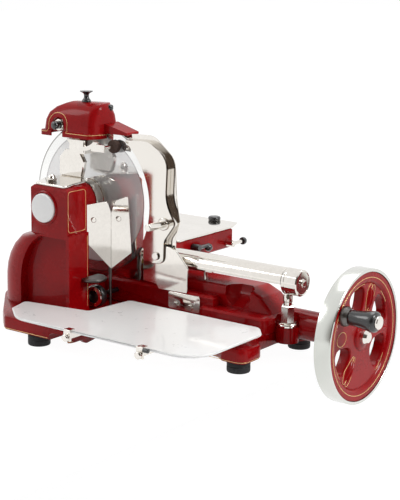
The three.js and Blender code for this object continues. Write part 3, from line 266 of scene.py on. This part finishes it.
links.new(rough.outputs["Result"], ground[3].inputs["Roughness"])
polished = nodes.new("ShaderNodeMapRange")
polished.inputs["From Min"].default_value, polished.inputs["From Max"].default_value = 0.1275, 0.129
polished.inputs["To Min"].default_value, polished.inputs["To Max"].default_value = 0.42, 0.92
# painted highlight: the colour is lighter on the bevel, and darker in a line where the bevel begins and at
# the edge
painted_bevel_bands = nodes.new("ShaderNodeValToRGB")
painted_bevel_bands.color_ramp.elements[0].position, painted_bevel_bands.color_ramp.elements[0].color = 0.0, (0.90, 0.905, 0.90, 1)
painted_bevel_bands.color_ramp.elements[1].position, painted_bevel_bands.color_ramp.elements[1].color = 0.984, (0.42, 0.41, 0.39, 1)
for position, tone in ((0.838, 0.92), (0.846, 0.62), (0.856, 0.6), (0.862, 0.95), (0.976, 0.95)):
    painted_bevel_bands.color_ramp.elements.new(position).color = (tone, tone, tone * 0.985, 1)
widen = nodes.new("ShaderNodeMath")
widen.operation = "MULTIPLY"
widen.inputs[1].default_value = 1 / blade_radius
links.new(away.outputs["Value"], polished.inputs["Value"])
links.new(polished.outputs["Result"], ground[3].inputs["Metallic"])
links.new(away.outputs["Value"], widen.inputs[0])
links.new(widen.outputs[0], painted_bevel_bands.inputs["Fac"])
links.new(painted_bevel_bands.outputs["Color"], ground[3].inputs["Base Color"])
ground_steel = ground[0]
profile = [(12, -1.5), (90, -1.5), (127.6, -1.5), (128.4, -1.46), (129, -1.38), (149.2, 1.06), (150, 1.25)]
profile += [(150, 1.4), (149.6, 1.5), (12, 1.5), (12, -1.5)]
lathe("blade_disc", "y", blade_at, profile, ground_steel, ["blade"], 180, 12)
profile = [(9, -40), (38.5, -40), (40, -39.4), (40.5, -38), (40.5, -22), (40, -20.5), (39, -19.6)]
profile += [(39, -18.4), (40.5, -17.4), (40.5, -10.5), (39.6, -9.4), (31.5, -2.4), (30, -1.8), (9, -1.8)]
profile += [(9, -40)]
lathe("hub_drum", "y", blade_at, profile, chrome, ["blade_hub"], 96, 20)
dark = new_finish("oiled_steel")
dark[3].inputs["Metallic"].default_value = 1.0
oiled_steel = mottled(dark, 50, 0.5, (0.25, 0.42), ((0.10, 0.095, 0.09), (0.20, 0.19, 0.18)), 0.1)
for node in ("blade_shaft", "upright_shaft", "cross_shaft", "wheel_shaft"):
    dressed(node, oiled_steel, 0.3)

# Flywheel: an iron web pierced by four windows with thick rounded walls, its lowest part left plain, and
# leaves on the ribs between them, all enamelled red inside a deep ring with a chromed band.
wheel_at = (0, 64, 58)
profile = [(96, 566.5), (99, 560), (101, 558.4), (118.6, 558.4), (118.9, 559), (118.9, 584), (117.8, 585)]
profile += [(103.4, 585), (101.4, 584.2), (99.6, 581.4), (96, 577.4), (96, 566.5)]
ring_skin = lathe("wheel_ring", "x", wheel_at, profile, red_enamel, ["flywheel"], 180, 40)
profile = [(9.4, 537.2), (22.8, 537.2), (24, 538.4), (24, 564), (24.6, 577), (27, 578.6), (25.4, 582.6)]
profile += [(23.4, 584), (9.4, 584), (9.4, 537.2)]
lathe("wheel_hub", "x", wheel_at, profile, red_enamel, ["flywheel"], 96, 40)


def on_wheel(radius, degrees):
    """A place on the wheel's face, in millimetres along Y and Z."""
    a = math.radians(degrees)
    return wheel_at[1] + radius * math.cos(a), wheel_at[2] + radius * math.sin(a)


def window_rim(begin, end):
    """A window's rim: a bean between two ribs, full towards the ring and slim towards the hub."""
    inner, outer = 44, 95
    fullness, slim_share = 0.75, 0.72
    marks = []
    for k in range(48):
        a = 2 * math.pi * k / 48
        swell = 0.5 + 0.5 * math.copysign(abs(math.sin(a)) ** fullness, math.sin(a))
        half = (end - begin) / 2 * (slim_share + (1 - slim_share) * swell)
        along = half * math.copysign(abs(math.cos(a)) ** fullness, math.cos(a))
        marks.append(on_wheel(inner + (outer - inner) * swell, (begin + end) / 2 + along))
    return marks


windows = ((5, 55), (84, 126), (184, 226), (-58, -6))
web_radius, web_middle, web_half = 99, 0.569, 0.0115
rounding = 0.003
rims = [[on_wheel(web_radius, a) for a in range(0, 360, 4)]] + [window_rim(*w) for w in windows]
sheet = bpy.data.curves.new("wheel_web", "CURVE")
sheet.dimensions = "2D"
sheet.fill_mode = "BOTH"
sheet.extrude = web_half - rounding
sheet.bevel_depth = rounding
sheet.bevel_resolution = 3
sheet.offset = -rounding
for rim in rims:
    loop = sheet.splines.new("POLY")
    loop.points.add(len(rim) - 1)
    for point, (y, z) in zip(loop.points, rim):
        point.co = (y / 1000, z / 1000, 0, 1)
    loop.use_cyclic_u = True
rough_web = bpy.data.objects.new("wheel_web", sheet)
rough_web.matrix_world = Matrix(((0, 0, 1, web_middle), (1, 0, 0, 0), (0, 1, 0, 0), (0, 0, 0, 1)))
web = bpy.data.meshes.new_from_object(rough_web)
web.transform(rough_web.matrix_world)
bpy.data.objects.remove(rough_web)
flywheel = fitted(web, "wheel_web_skin", red_enamel, ["flywheel"], 0, 40)


def leaf(name, degrees, radius, long, wide, high, lean):
    """A long almond raised on a rib, its ridge along the rib."""
    form = bmesh.new()
    rows = []
    for i in range(17):
        along = -1 + i / 8
        girth = math.cos(along * math.pi / 2) ** 0.8 if abs(along) < 1 else 0.0
        row = []
        for k in range(13):
            across = -1 + k / 6
            crown = high * girth * (1 - abs(across) ** 1.6)
            row.append(form.verts.new((crown, along * long, across * wide * girth)))
        rows.append(row)
    for one, two in zip(rows, rows[1:]):
        for k in range(12):
            form.faces.new((one[k], two[k], two[k + 1], one[k + 1]))
    bmesh.ops.remove_doubles(form, verts=form.verts, dist=0.01)
    bmesh.ops.recalc_face_normals(form, faces=form.faces)
    mesh = bpy.data.meshes.new(name)
    form.to_mesh(mesh)
    form.free()
    y, z = on_wheel(radius, degrees)
    turned = Matrix.Rotation(math.radians(degrees + lean), 4, "X")
    mesh.transform(Matrix.Translation((leaf_seat, y / 1000, z / 1000)) @ Matrix.Scale(0.001, 4) @ turned)
    fitted(mesh, name, red_enamel, ["flywheel"], 0, 60)


leaf_seat = 0.5798
leaf_radius, leaf_spread = 69, 3.6
ribs = (70, 234)
for number, rib in enumerate(ribs):
    leaf(f"leaf_{number}_a", rib - leaf_spread, leaf_radius, 25, 5.2, 6, 3)
    leaf(f"leaf_{number}_b", rib + leaf_spread, leaf_radius, 25, 5.2, 6, -3)
leaf("leaf_2", -1, leaf_radius, 24, 5, 5, 0)
grip_at = (0, -12.855, 113.84)
profile = [(0, 577), (15.6, 577), (15.6, 584), (14.6, 585.6), (0, 585.8)]
lathe("handle_boss", "x", grip_at, profile, red_enamel, ["flywheel"], 48, 30)
profile = [(119.3, 555.4), (124, 555), (124.8, 555.5), (125, 556.4), (125, 585.4), (124.7, 586.3)]
profile += [(123.8, 587), (120, 587), (119.3, 586.4), (119.3, 555.4)]
brushed = new_finish("brushed_chrome")
brushed[3].inputs["Metallic"].default_value = 1.0
brushed_chrome = mottled(brushed, 9, 0.1, (0.17, 0.2), ((0.65, 0.66, 0.62), (0.71, 0.715, 0.68)))
lathe("wheel_band", "x", wheel_at, profile, brushed_chrome, ["flywheel_rim"], 180, 25)
profile = [(0, 584.3), (13, 584.3), (13, 589.6), (12.5, 590.4), (9.6, 595.7), (8.6, 596.3), (0, 596.3)]
lathe("hub_nut", "x", wheel_at, profile, chrome, ["hub_cap"], 48)

# Handle: a turned grip, lacquered black, that spins on a steel pin screwed into the wheel's boss. It runs
# between a dark collar and a bright disc on the pin's end.
profile = [(0, 570.5), (5, 570.5), (5, 586.3), (17.4, 586.3), (18.2, 587.1), (18.2, 592), (17.6, 593.6)]
profile += [(15, 597.6), (14, 599.3), (5, 599.3), (5, 652), (0, 652)]
lathe("pin_and_collar", "x", grip_at, profile, oiled_steel, ["handle_pin"], 64)
lacquer = new_finish("black_gloss")
lacquer[3].inputs["Coat Weight"].default_value = 0.7
lacquer[3].inputs["Coat Roughness"].default_value = 0.05
black_gloss = mottled(lacquer, 40, 0.4, (0.25, 0.4), ((0.004, 0.004, 0.0045), (0.010, 0.010, 0.011)), 0.05)
profile = [(5.6, 599.6), (13.4, 599.6), (14.2, 600.4), (14.2, 604), (14.4, 614), (15.4, 624), (16.9, 632)]
profile += [(18.3, 639), (18.9, 644), (18.6, 648), (17.4, 651), (15, 652.6), (12.6, 653), (5.6, 653)]
profile += [(5.6, 599.6)]
lathe("grip_turning", "x", grip_at, profile, black_gloss, ["hand_grip"], 64, 50)
profile = [(0, 653.3), (11.2, 653.3), (12, 654.1), (12, 656.4), (11, 657.8), (8.6, 658.2), (0, 658.2)]
lathe("grip_disc", "x", grip_at, profile, chrome, ["grip_cap"], 48)

# Slice tray: a plate glazed white, notched round the column, that lies on two chromed bars. Two chromed
# clips and a small black latch hold it there.
dressed("slice_tray", white_glaze, 0.5, 25)
for node in ("tray_arm_1", "tray_arm_2", "tray_clip_1", "tray_clip_2"):
    dressed(node, chrome, 0.5)
dressed("tray_latch", black_gloss, 0.3)

# Rail: a ground and chromed bar with a flat underside, closed by a turned end cap with a screw. A bracket
# and a foot carry it at the left, and a turned post with a hexagon carries its right end.
for node in ("rail", "rail_bracket", "rail_foot"):
    dressed(node, chrome, 0.4)
post_at = (443, 30, 0)
profile = [(0, 60.2), (18.6, 60.2), (19.6, 61), (19.6, 64), (18.8, 65.4), (15.6, 67), (0, 67)]
lathe("post_collar", "z", post_at, profile, chrome, ["rail_post"], 64)
profile = [(0, 67), (12.2, 67), (13.2, 68.2), (13.2, 98.6), (12, 100.2), (0, 100.2)]
lathe("post_hexagon", "z", post_at, profile, brushed_chrome, ["rail_post"], 6)
profile = [(0, 100.2), (8.4, 100.2), (8.4, 107), (9.4, 108.4), (9.4, 118), (8.4, 120.6), (0, 120.6)]
lathe("post_stem", "z", post_at, profile, chrome, ["rail_post"], 48)
rail_at = (0, 30, 146)
profile = [(0, 440.3), (24, 440.3), (25, 441.3), (25, 446), (24.4, 446.6), (24.4, 447.6), (25, 448.2)]
profile += [(25, 471.6), (23.6, 474), (21.5, 474.3), (20.5, 473.2), (8, 473), (6.6, 474), (6, 477.6)]
profile += [(5, 478.3), (0, 478.3)]
lathe("end_cap", "x", rail_at, profile, chrome, ["rail_end_cap"], 96)

# Carriage: a red enamelled box that runs on the rail and on a brass shoe, with the chromed meat table on top
# and two levers with black balls at its right side.
dressed("carriage", red_enamel, 1.0)
worn = new_finish("worn_brass")
worn[3].inputs["Metallic"].default_value = 1.0
worn_brass = mottled(worn, 60, 0.5, (0.22, 0.4), ((0.42, 0.28, 0.09), (0.60, 0.42, 0.16)), 0.1)
dressed("track_shoe", worn_brass, 0.3)
dressed("table", chrome, 0.6)
profile = [(0, 180.6), (11.4, 180.6), (12.4, 181.2), (13, 183), (13, 186), (12, 188.2), (9.4, 189.2)]
profile += [(0, 189.3)]
button_at = (112, 256, 0)
lathe("table_button", "z", button_at, profile, black_gloss, ["table_knob"], 48, 50)
dressed("lever_front", black_gloss, 0.0, 40)
dressed("lever_back", chrome, 0.3)
dressed("lever_back_ball", black_gloss, 0.0, 40)

# Plates round the blade: the back plate, the gauge plate and its front, the lower plate, and the bracket
# and stud that guide them, milled from steel and chromed. The gauge front's right edge carries a painted
# dark reflection, dark brown in its colour, along its front half.
for node in ("back_plate", "lower_plate", "gauge_bracket", "gauge_stud"):
    dressed(node, chrome, 0.35)
painted_edge_finish, nodes, links, shader = new_finish("chrome_with_painted_dark_edge")
shader.inputs["Metallic"].default_value = 1.0
mottled((painted_edge_finish, nodes, links, shader), 22, 0.4, (0.05, 0.13))
facing = nodes.new("ShaderNodeTexCoord")
side = nodes.new("ShaderNodeSeparateXYZ")
right_facing = nodes.new("ShaderNodeMapRange")
right_facing.inputs["From Min"].default_value, right_facing.inputs["From Max"].default_value = 0.45, 0.7
# painted reflection: the chrome's right-facing edge is coloured dark brown over its front half
painted_reflection_tint = nodes.new("ShaderNodeMix")
painted_reflection_tint.data_type = "RGBA"
painted_reflection_tint.inputs["A"].default_value = (0.80, 0.765, 0.715, 1)
painted_reflection_tint.inputs["B"].default_value = (0.075, 0.05, 0.036, 1)
links.new(facing.outputs["Normal"], side.inputs[0])
depth = nodes.new("ShaderNodeSeparateXYZ")
front_half = nodes.new("ShaderNodeMapRange")
front_half.inputs["From Min"].default_value, front_half.inputs["From Max"].default_value = -0.0105, -0.0125
painted_reflection_mask = nodes.new("ShaderNodeMath")
painted_reflection_mask.operation = "MULTIPLY"
links.new(side.outputs["X"], right_facing.inputs["Value"])
links.new(facing.outputs["Object"], depth.inputs[0])
links.new(depth.outputs["Y"], front_half.inputs["Value"])
links.new(right_facing.outputs["Result"], painted_reflection_mask.inputs[0])
links.new(front_half.outputs["Result"], painted_reflection_mask.inputs[1])
links.new(painted_reflection_mask.outputs[0], painted_reflection_tint.inputs["Factor"])
links.new(painted_reflection_tint.outputs["Result"], shader.inputs["Base Color"])
dressed("gauge_plate", chrome, 0.35)
dressed("gauge_front", painted_edge_finish, 0.35)

# Thickness knob: a black drum with a chromed ring on its front, on a spindle that runs through the sill.
# Turning it sets how far the gauge plate stands in front of the blade.
drum_at = (66, 0, 75)
profile = [(0, -77), (19, -77), (21, -76.2), (22, -74.6), (22, -65.2), (21, -63.6), (19.6, -63), (5, -63)]
profile += [(5, 5.7), (0, 5.7)]
lathe("thickness_drum", "y", drum_at, profile, black_gloss, ["thickness_knob"], 80, 40)
profile = [(13, -80.3), (19.4, -80.3), (20, -79.8), (20, -77.3), (13, -77.3), (13, -80.3)]
lathe("drum_ring", "y", drum_at, profile, chrome, ["knob_ring"], 64)

# Slice deflector: two chromed wings in front of the blade on a dark steel rod, which turn each slice down
# onto the tray, and an oiled steel arm at the column's side.
dressed("deflector_rod", oiled_steel, 0.2)
for node in ("deflector_left", "deflector_right"):
    dressed(node, chrome, 0.4)
dressed("deflector_arm", oiled_steel, 0.8)

# Sharpener: a chromed frame reaches over the blade with two stones, under a thin cast cover enamelled red.
# The cover's right side stands fuller than its solid at the top, and slants in towards the front.
dressed("sharpener_frame", chrome, 0.6)
cover = dressed("sharpener_cover", red_enamel, 0.8, 40)
cover_middle, cover_half = (-29, -9), (76, 36)
cover_back, cover_deep = 27, 72
crown_from, crown_share = 404, 0.88
wing_from, slant, back_share = 50, 0.022, 0.2
# Each level holds its height, then how far the solid and the cast stand in, along X and across Y.
levels = ((373, 0, 0, 0, 0), (384, 0, 0, 0, 0), (384.5, 6, 1.2, 6, 4), (404, 9, 1.5, 8, 5))
levels += ((420, 16, 2.4, 12, 7.5), (433, 30, 4.5, 20, 12), (442, 50, 8.7, 29, 20))
levels += ((446, 62, 13.5, 33, 27), (460, 62, 13.5, 33, 27))
for corner in cover.data.vertices:
    x, y, z = (v * 1000 for v in corner.co)
    on_right = x > cover_middle[0]
    for low, high in zip(levels, levels[1:]):
        if low[0] <= z < high[0]:
            way = (z - low[0]) / (high[0] - low[0])
            was_x, now_x, was_y, now_y = (p + (q - p) * way for p, q in zip(low[1:], high[1:]))
            if x < cover_middle[0] + cover_half[0] - was_x + 1:
                if not on_right:
                    now_x = was_x
                elif y > cover_middle[1]:
                    now_y *= back_share
                narrowed = (cover_half[0] - now_x) / (cover_half[0] - was_x)
                shallowed = (cover_half[1] - now_y) / (cover_half[1] - was_y)
                corner.co.x = (cover_middle[0] + (x - cover_middle[0]) * narrowed) / 1000
                corner.co.y = (cover_middle[1] + (y - cover_middle[1]) * shallowed) / 1000
                corner.co.z = (min(z, crown_from) + max(z - crown_from, 0) * crown_share) / 1000
    if on_right and x < wing_from:
        corner.co.x -= slant * (x - cover_middle[0]) / cover_half[0] * (cover_back - y) / cover_deep
grit = new_finish("grinding_grit")
grinding_grit = mottled(grit, 300, 0.7, (0.75, 0.95), ((0.035, 0.018, 0.014), (0.10, 0.06, 0.045)), 0.6)
for node in ("grinding_stone", "honing_stone"):
    dressed(node, grinding_grit, 0.3)
dressed("tail_stud", chrome, 0.4)
dressed("presser_collar", chrome, 0.3)
dressed("presser_knob", black_gloss, 0.4, 50)
knob_at, corner_knob_at = (-11, -9, 446.3), (32, 10, 0)
profile = [(0, -5.6), (8.4, -5.6), (9, -4.6), (9, -2), (8, -0.4), (6, 2), (5, 5), (5, 8.6), (5.8, 11)]
profile += [(8.6, 13.2), (12, 14.8), (13, 15.8), (12.6, 16.7), (11, 17), (0, 17)]
lathe("lifting_knob", "z", knob_at, profile, black_gloss, ["cover_knob"], 48, 50)
profile = [(0, 410), (4, 410), (4, 426), (6.4, 427.4), (7.4, 430), (7.4, 434.6), (6.4, 437), (4, 438)]
profile += [(0, 438)]
lathe("cover_screw", "z", corner_knob_at, profile, black_gloss, ["sharpener_cover"], 40, 50)

# Pinstripes: thin gold lines laid by brush on the enamel, round the box's side, down the column's edge,
# along the base and the cover's flange, round the flywheel's ring and windows, and round its leaves.
paint = new_finish("gold_line")
paint[3].inputs["Metallic"].default_value = 0.55
gold_line = mottled(paint, 200, 0.5, (0.3, 0.5), ((0.80, 0.52, 0.20), (0.95, 0.70, 0.34)))


def pinstripe(name, on, points, towards, width=0.9, closed=False):
    """Drops a line of points, in millimetres, onto a skin along a direction, and lays a gold bead there."""
    step, proud = 2, 0.00005
    bpy.context.view_layer.update()
    skin = BVHTree.FromObject(on, bpy.context.evaluated_depsgraph_get())
    way = Vector(towards).normalized()
    laid = []
    for start, end in zip(points, points[1:] + points[:1] if closed else points[1:]):
        count = max(1, round((Vector(end) - Vector(start)).length / step))
        for k in range(count):
            mark = Vector(start).lerp(Vector(end), k / count) / 1000
            hit = skin.ray_cast(mark, way)
            if hit[0] is not None:
                laid.append(hit[0] - way * proud)
    line = bpy.data.curves.new(name, "CURVE")
    line.dimensions = "3D"
    line.bevel_depth = width / 2000
    line.bevel_resolution = 1
    spline = line.splines.new("POLY")
    spline.points.add(len(laid) - 1)
    for point, place in zip(spline.points, laid):
        point.co = (*place, 1)
    spline.use_cyclic_u = closed
    line.materials.append(gold_line)
    bead = bpy.data.objects.new(name, line)
    scene.collection.objects.link(bead)
    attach(bead, on["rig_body"])


def rounded(left, right, low, high, corner, place):
    """A rounded rectangle as points, laid out by a function of across and up."""
    marks = []
    middles = [(right - corner, high - corner), (left + corner, high - corner)]
    middles += [(left + corner, low + corner), (right - corner, low + corner)]
    for quarter, (mid_across, mid_up) in enumerate(middles):
        for k in range(5):
            a = math.radians(90 * quarter + 22.5 * k)
            marks.append(place(mid_across + corner * math.cos(a), mid_up + corner * math.sin(a)))
    return marks


leftward, backward = (-1, 0, 0), (0, 1, 0)
box_line = rounded(-142, -92, 209, 288, 7, lambda a, b: (90, a, b))
pinstripe("box_side_line", column, box_line, leftward, 1.0, True)
pinstripe("column_edge_line", column, [(90, -92, 198), (90, -92, 56)], leftward, 1.0)
arch_at, arch_wide, arch_high = (-58, -70, 396), 24, 23
arch = []
for degrees in range(190, -11, -10):
    a = math.radians(degrees)
    arch.append((arch_at[0] + arch_wide * math.cos(a), arch_at[1], arch_at[2] + arch_high * math.sin(a)))
cover_edge = [(-104.3, -70, 381), (-83, -70, 381), (-82, -70, 386)] + arch
cover_edge += [(-34, -70, 386), (-33, -70, 381), (44, -70, 381)]
pinstripe("cover_front_line", cover, cover_edge, backward, 1.0)
pinstripe("base_front_line", base, [(-140, -350, 26), (446, -350, 26)], backward, 1.0)
pinstripe("base_side_line", base, [(620, -128, 26), (620, -60, 26)], leftward, 1.0)
pinstripe("cover_side_line", cover, [(90, -42, 381), (90, 12, 381)], leftward, 1.0)
clear_of_wheel, ring_line_radius, window_line_radius = 620, 109, 97
ring_line = [(clear_of_wheel, *on_wheel(ring_line_radius, a)) for a in range(0, 360, 3)]
pinstripe("wheel_ring_line", ring_skin, ring_line, leftward, 1.2, True)
hoop_y, hoop_z = on_wheel(73, 172)
hoop = []
for k in range(50):
    hoop.append((clear_of_wheel, hoop_y + 16 * math.cos(k / 8), hoop_z + 13 * math.sin(k / 8)))
pinstripe("wheel_hoop_line", flywheel, hoop, leftward, 1.0, True)
line_long, line_spread = 28, 6.6
for number, middle in enumerate(rib + side * leaf_spread for rib in ribs for side in (-1, 1)):
    rim = []
    for k in range(40):
        a = k * math.pi / 20
        place = on_wheel(leaf_radius + line_long * math.cos(a), middle + line_spread * math.sin(a))
        rim.append((clear_of_wheel, *place))
    pinstripe(f"leaf_line_{number}", flywheel, rim, leftward, 0.9, True)
for number, (begin, end) in enumerate(((190, 222), (88, 112), (-54, -30), (30, 52))):
    bow = [(clear_of_wheel, *on_wheel(window_line_radius, a)) for a in range(begin, end + 1, 4)]
    pinstripe(f"window_line_{number}", flywheel, bow, leftward, 0.9)

# Studio: a white table top under the feet that ends before the wheel, and a white floor below it. Three soft
# lamps and an even pale surround light the machine, and polished metal also shows the dark side of the room,
# from where the picture is taken.
pale, nodes, links, surface = new_finish("pale_floor")
surface.inputs["Base Color"].default_value = (0.88, 0.88, 0.88, 1)
surface.inputs["Roughness"].default_value = 0.9
glow = nodes.new("ShaderNodeEmission")
shown = nodes.new("ShaderNodeLightPath")
blend = nodes.new("ShaderNodeMixShader")
either = nodes.new("ShaderNodeMath")
either.operation = "MAXIMUM"
share = nodes.new("ShaderNodeMath")
share.operation = "MULTIPLY"
share.inputs[1].default_value = 0.84
glow.inputs["Strength"].default_value = 1.15
links.new(shown.outputs["Is Camera Ray"], either.inputs[0])
links.new(shown.outputs["Is Glossy Ray"], either.inputs[1])
links.new(either.outputs[0], share.inputs[0])
links.new(share.outputs[0], blend.inputs[0])
links.new(surface.outputs[0], blend.inputs[1])
links.new(glow.outputs[0], blend.inputs[2])
links.new(blend.outputs[0], nodes["Material Output"].inputs["Surface"])


def pale_sheet(name, corners):
    """A flat stage sheet in the pale finish."""
    mesh = bpy.data.meshes.new(name)
    mesh.from_pydata(corners, [], [tuple(range(len(corners)))])
    mesh.materials.append(pale)
    sheet = bpy.data.objects.new(name, mesh)
    scene.collection.objects.link(sheet)


table_ends, table_level, floor_level = 0.5, -0.0002, -0.5
near, far, left, right = -6, 14, -9, 9
table = [(left, near), (table_ends, near), (table_ends, far), (left, far)]
floor = [(left, near), (right, near), (right, far), (left, far)]
pale_sheet("table_top_sheet", [(*corner, table_level) for corner in table])
pale_sheet("floor_sheet", [(*corner, floor_level) for corner in floor])

viewer_side = (0.58, -0.80, 0.12)
world = bpy.data.worlds.new("studio")
scene.world = world
world.use_nodes = True
nodes, links = world.node_tree.nodes, world.node_tree.links
plain = nodes["Background"]
plain.inputs["Color"].default_value = (0.95, 0.97, 1.0, 1)
plain.inputs["Strength"].default_value = 0.42
white = nodes.new("ShaderNodeBackground")
white.inputs["Strength"].default_value = 1.0
path = nodes.new("ShaderNodeLightPath")
aim = nodes.new("ShaderNodeTexCoord")
towards = nodes.new("ShaderNodeVectorMath")
towards.operation = "DOT_PRODUCT"
towards.inputs[1].default_value = viewer_side
room = nodes.new("ShaderNodeMapRange")
room.interpolation_type = "SMOOTHSTEP"
room.inputs["From Min"].default_value, room.inputs["From Max"].default_value = 0.45, 0.8
gloomy = nodes.new("ShaderNodeMath")
gloomy.operation = "MULTIPLY"
tone = nodes.new("ShaderNodeMix")
tone.data_type = "RGBA"
tone.inputs["A"].default_value = (1, 1, 1, 1)
tone.inputs["B"].default_value = (0.10, 0.075, 0.06, 1)
links.new(aim.outputs["Generated"], towards.inputs[0])
links.new(towards.outputs["Value"], room.inputs["Value"])
links.new(room.outputs["Result"], gloomy.inputs[0])
links.new(path.outputs["Is Glossy Ray"], gloomy.inputs[1])
links.new(gloomy.outputs[0], tone.inputs["Factor"])
links.new(tone.outputs["Result"], white.inputs["Color"])
seen = nodes.new("ShaderNodeMath")
seen.operation = "MAXIMUM"
also = nodes.new("ShaderNodeMath")
also.operation = "MAXIMUM"
pick = nodes.new("ShaderNodeMixShader")
links.new(path.outputs["Is Camera Ray"], seen.inputs[0])
links.new(path.outputs["Is Glossy Ray"], seen.inputs[1])
links.new(seen.outputs[0], also.inputs[0])
links.new(path.outputs["Is Transmission Ray"], also.inputs[1])
links.new(also.outputs[0], pick.inputs[0])
links.new(plain.outputs[0], pick.inputs[1])
links.new(white.outputs[0], pick.inputs[2])
links.new(pick.outputs[0], nodes["World Output"].inputs["Surface"])


def soft_lamp(name, at, size, watts):
    lamp = bpy.data.lights.new(name, "AREA")
    lamp.size = size
    lamp.energy = watts
    stand = bpy.data.objects.new(name, lamp)
    scene.collection.objects.link(stand)
    stand.location = at
    aim = machine_middle - Vector(at)
    stand.rotation_euler = aim.to_track_quat("-Z", "Y").to_euler()


machine_middle = Vector((0.15, -0.02, 0.18))
soft_lamp("lamp_left", (-2.0, -1.8, 2.0), 1.2, 20)
soft_lamp("lamp_right", (2.5, 0.2, 1.7), 0.7, 36)
soft_lamp("lamp_above", (0.0, 0.9, 2.6), 1.8, 24)
scene.view_settings.view_transform = "Standard"
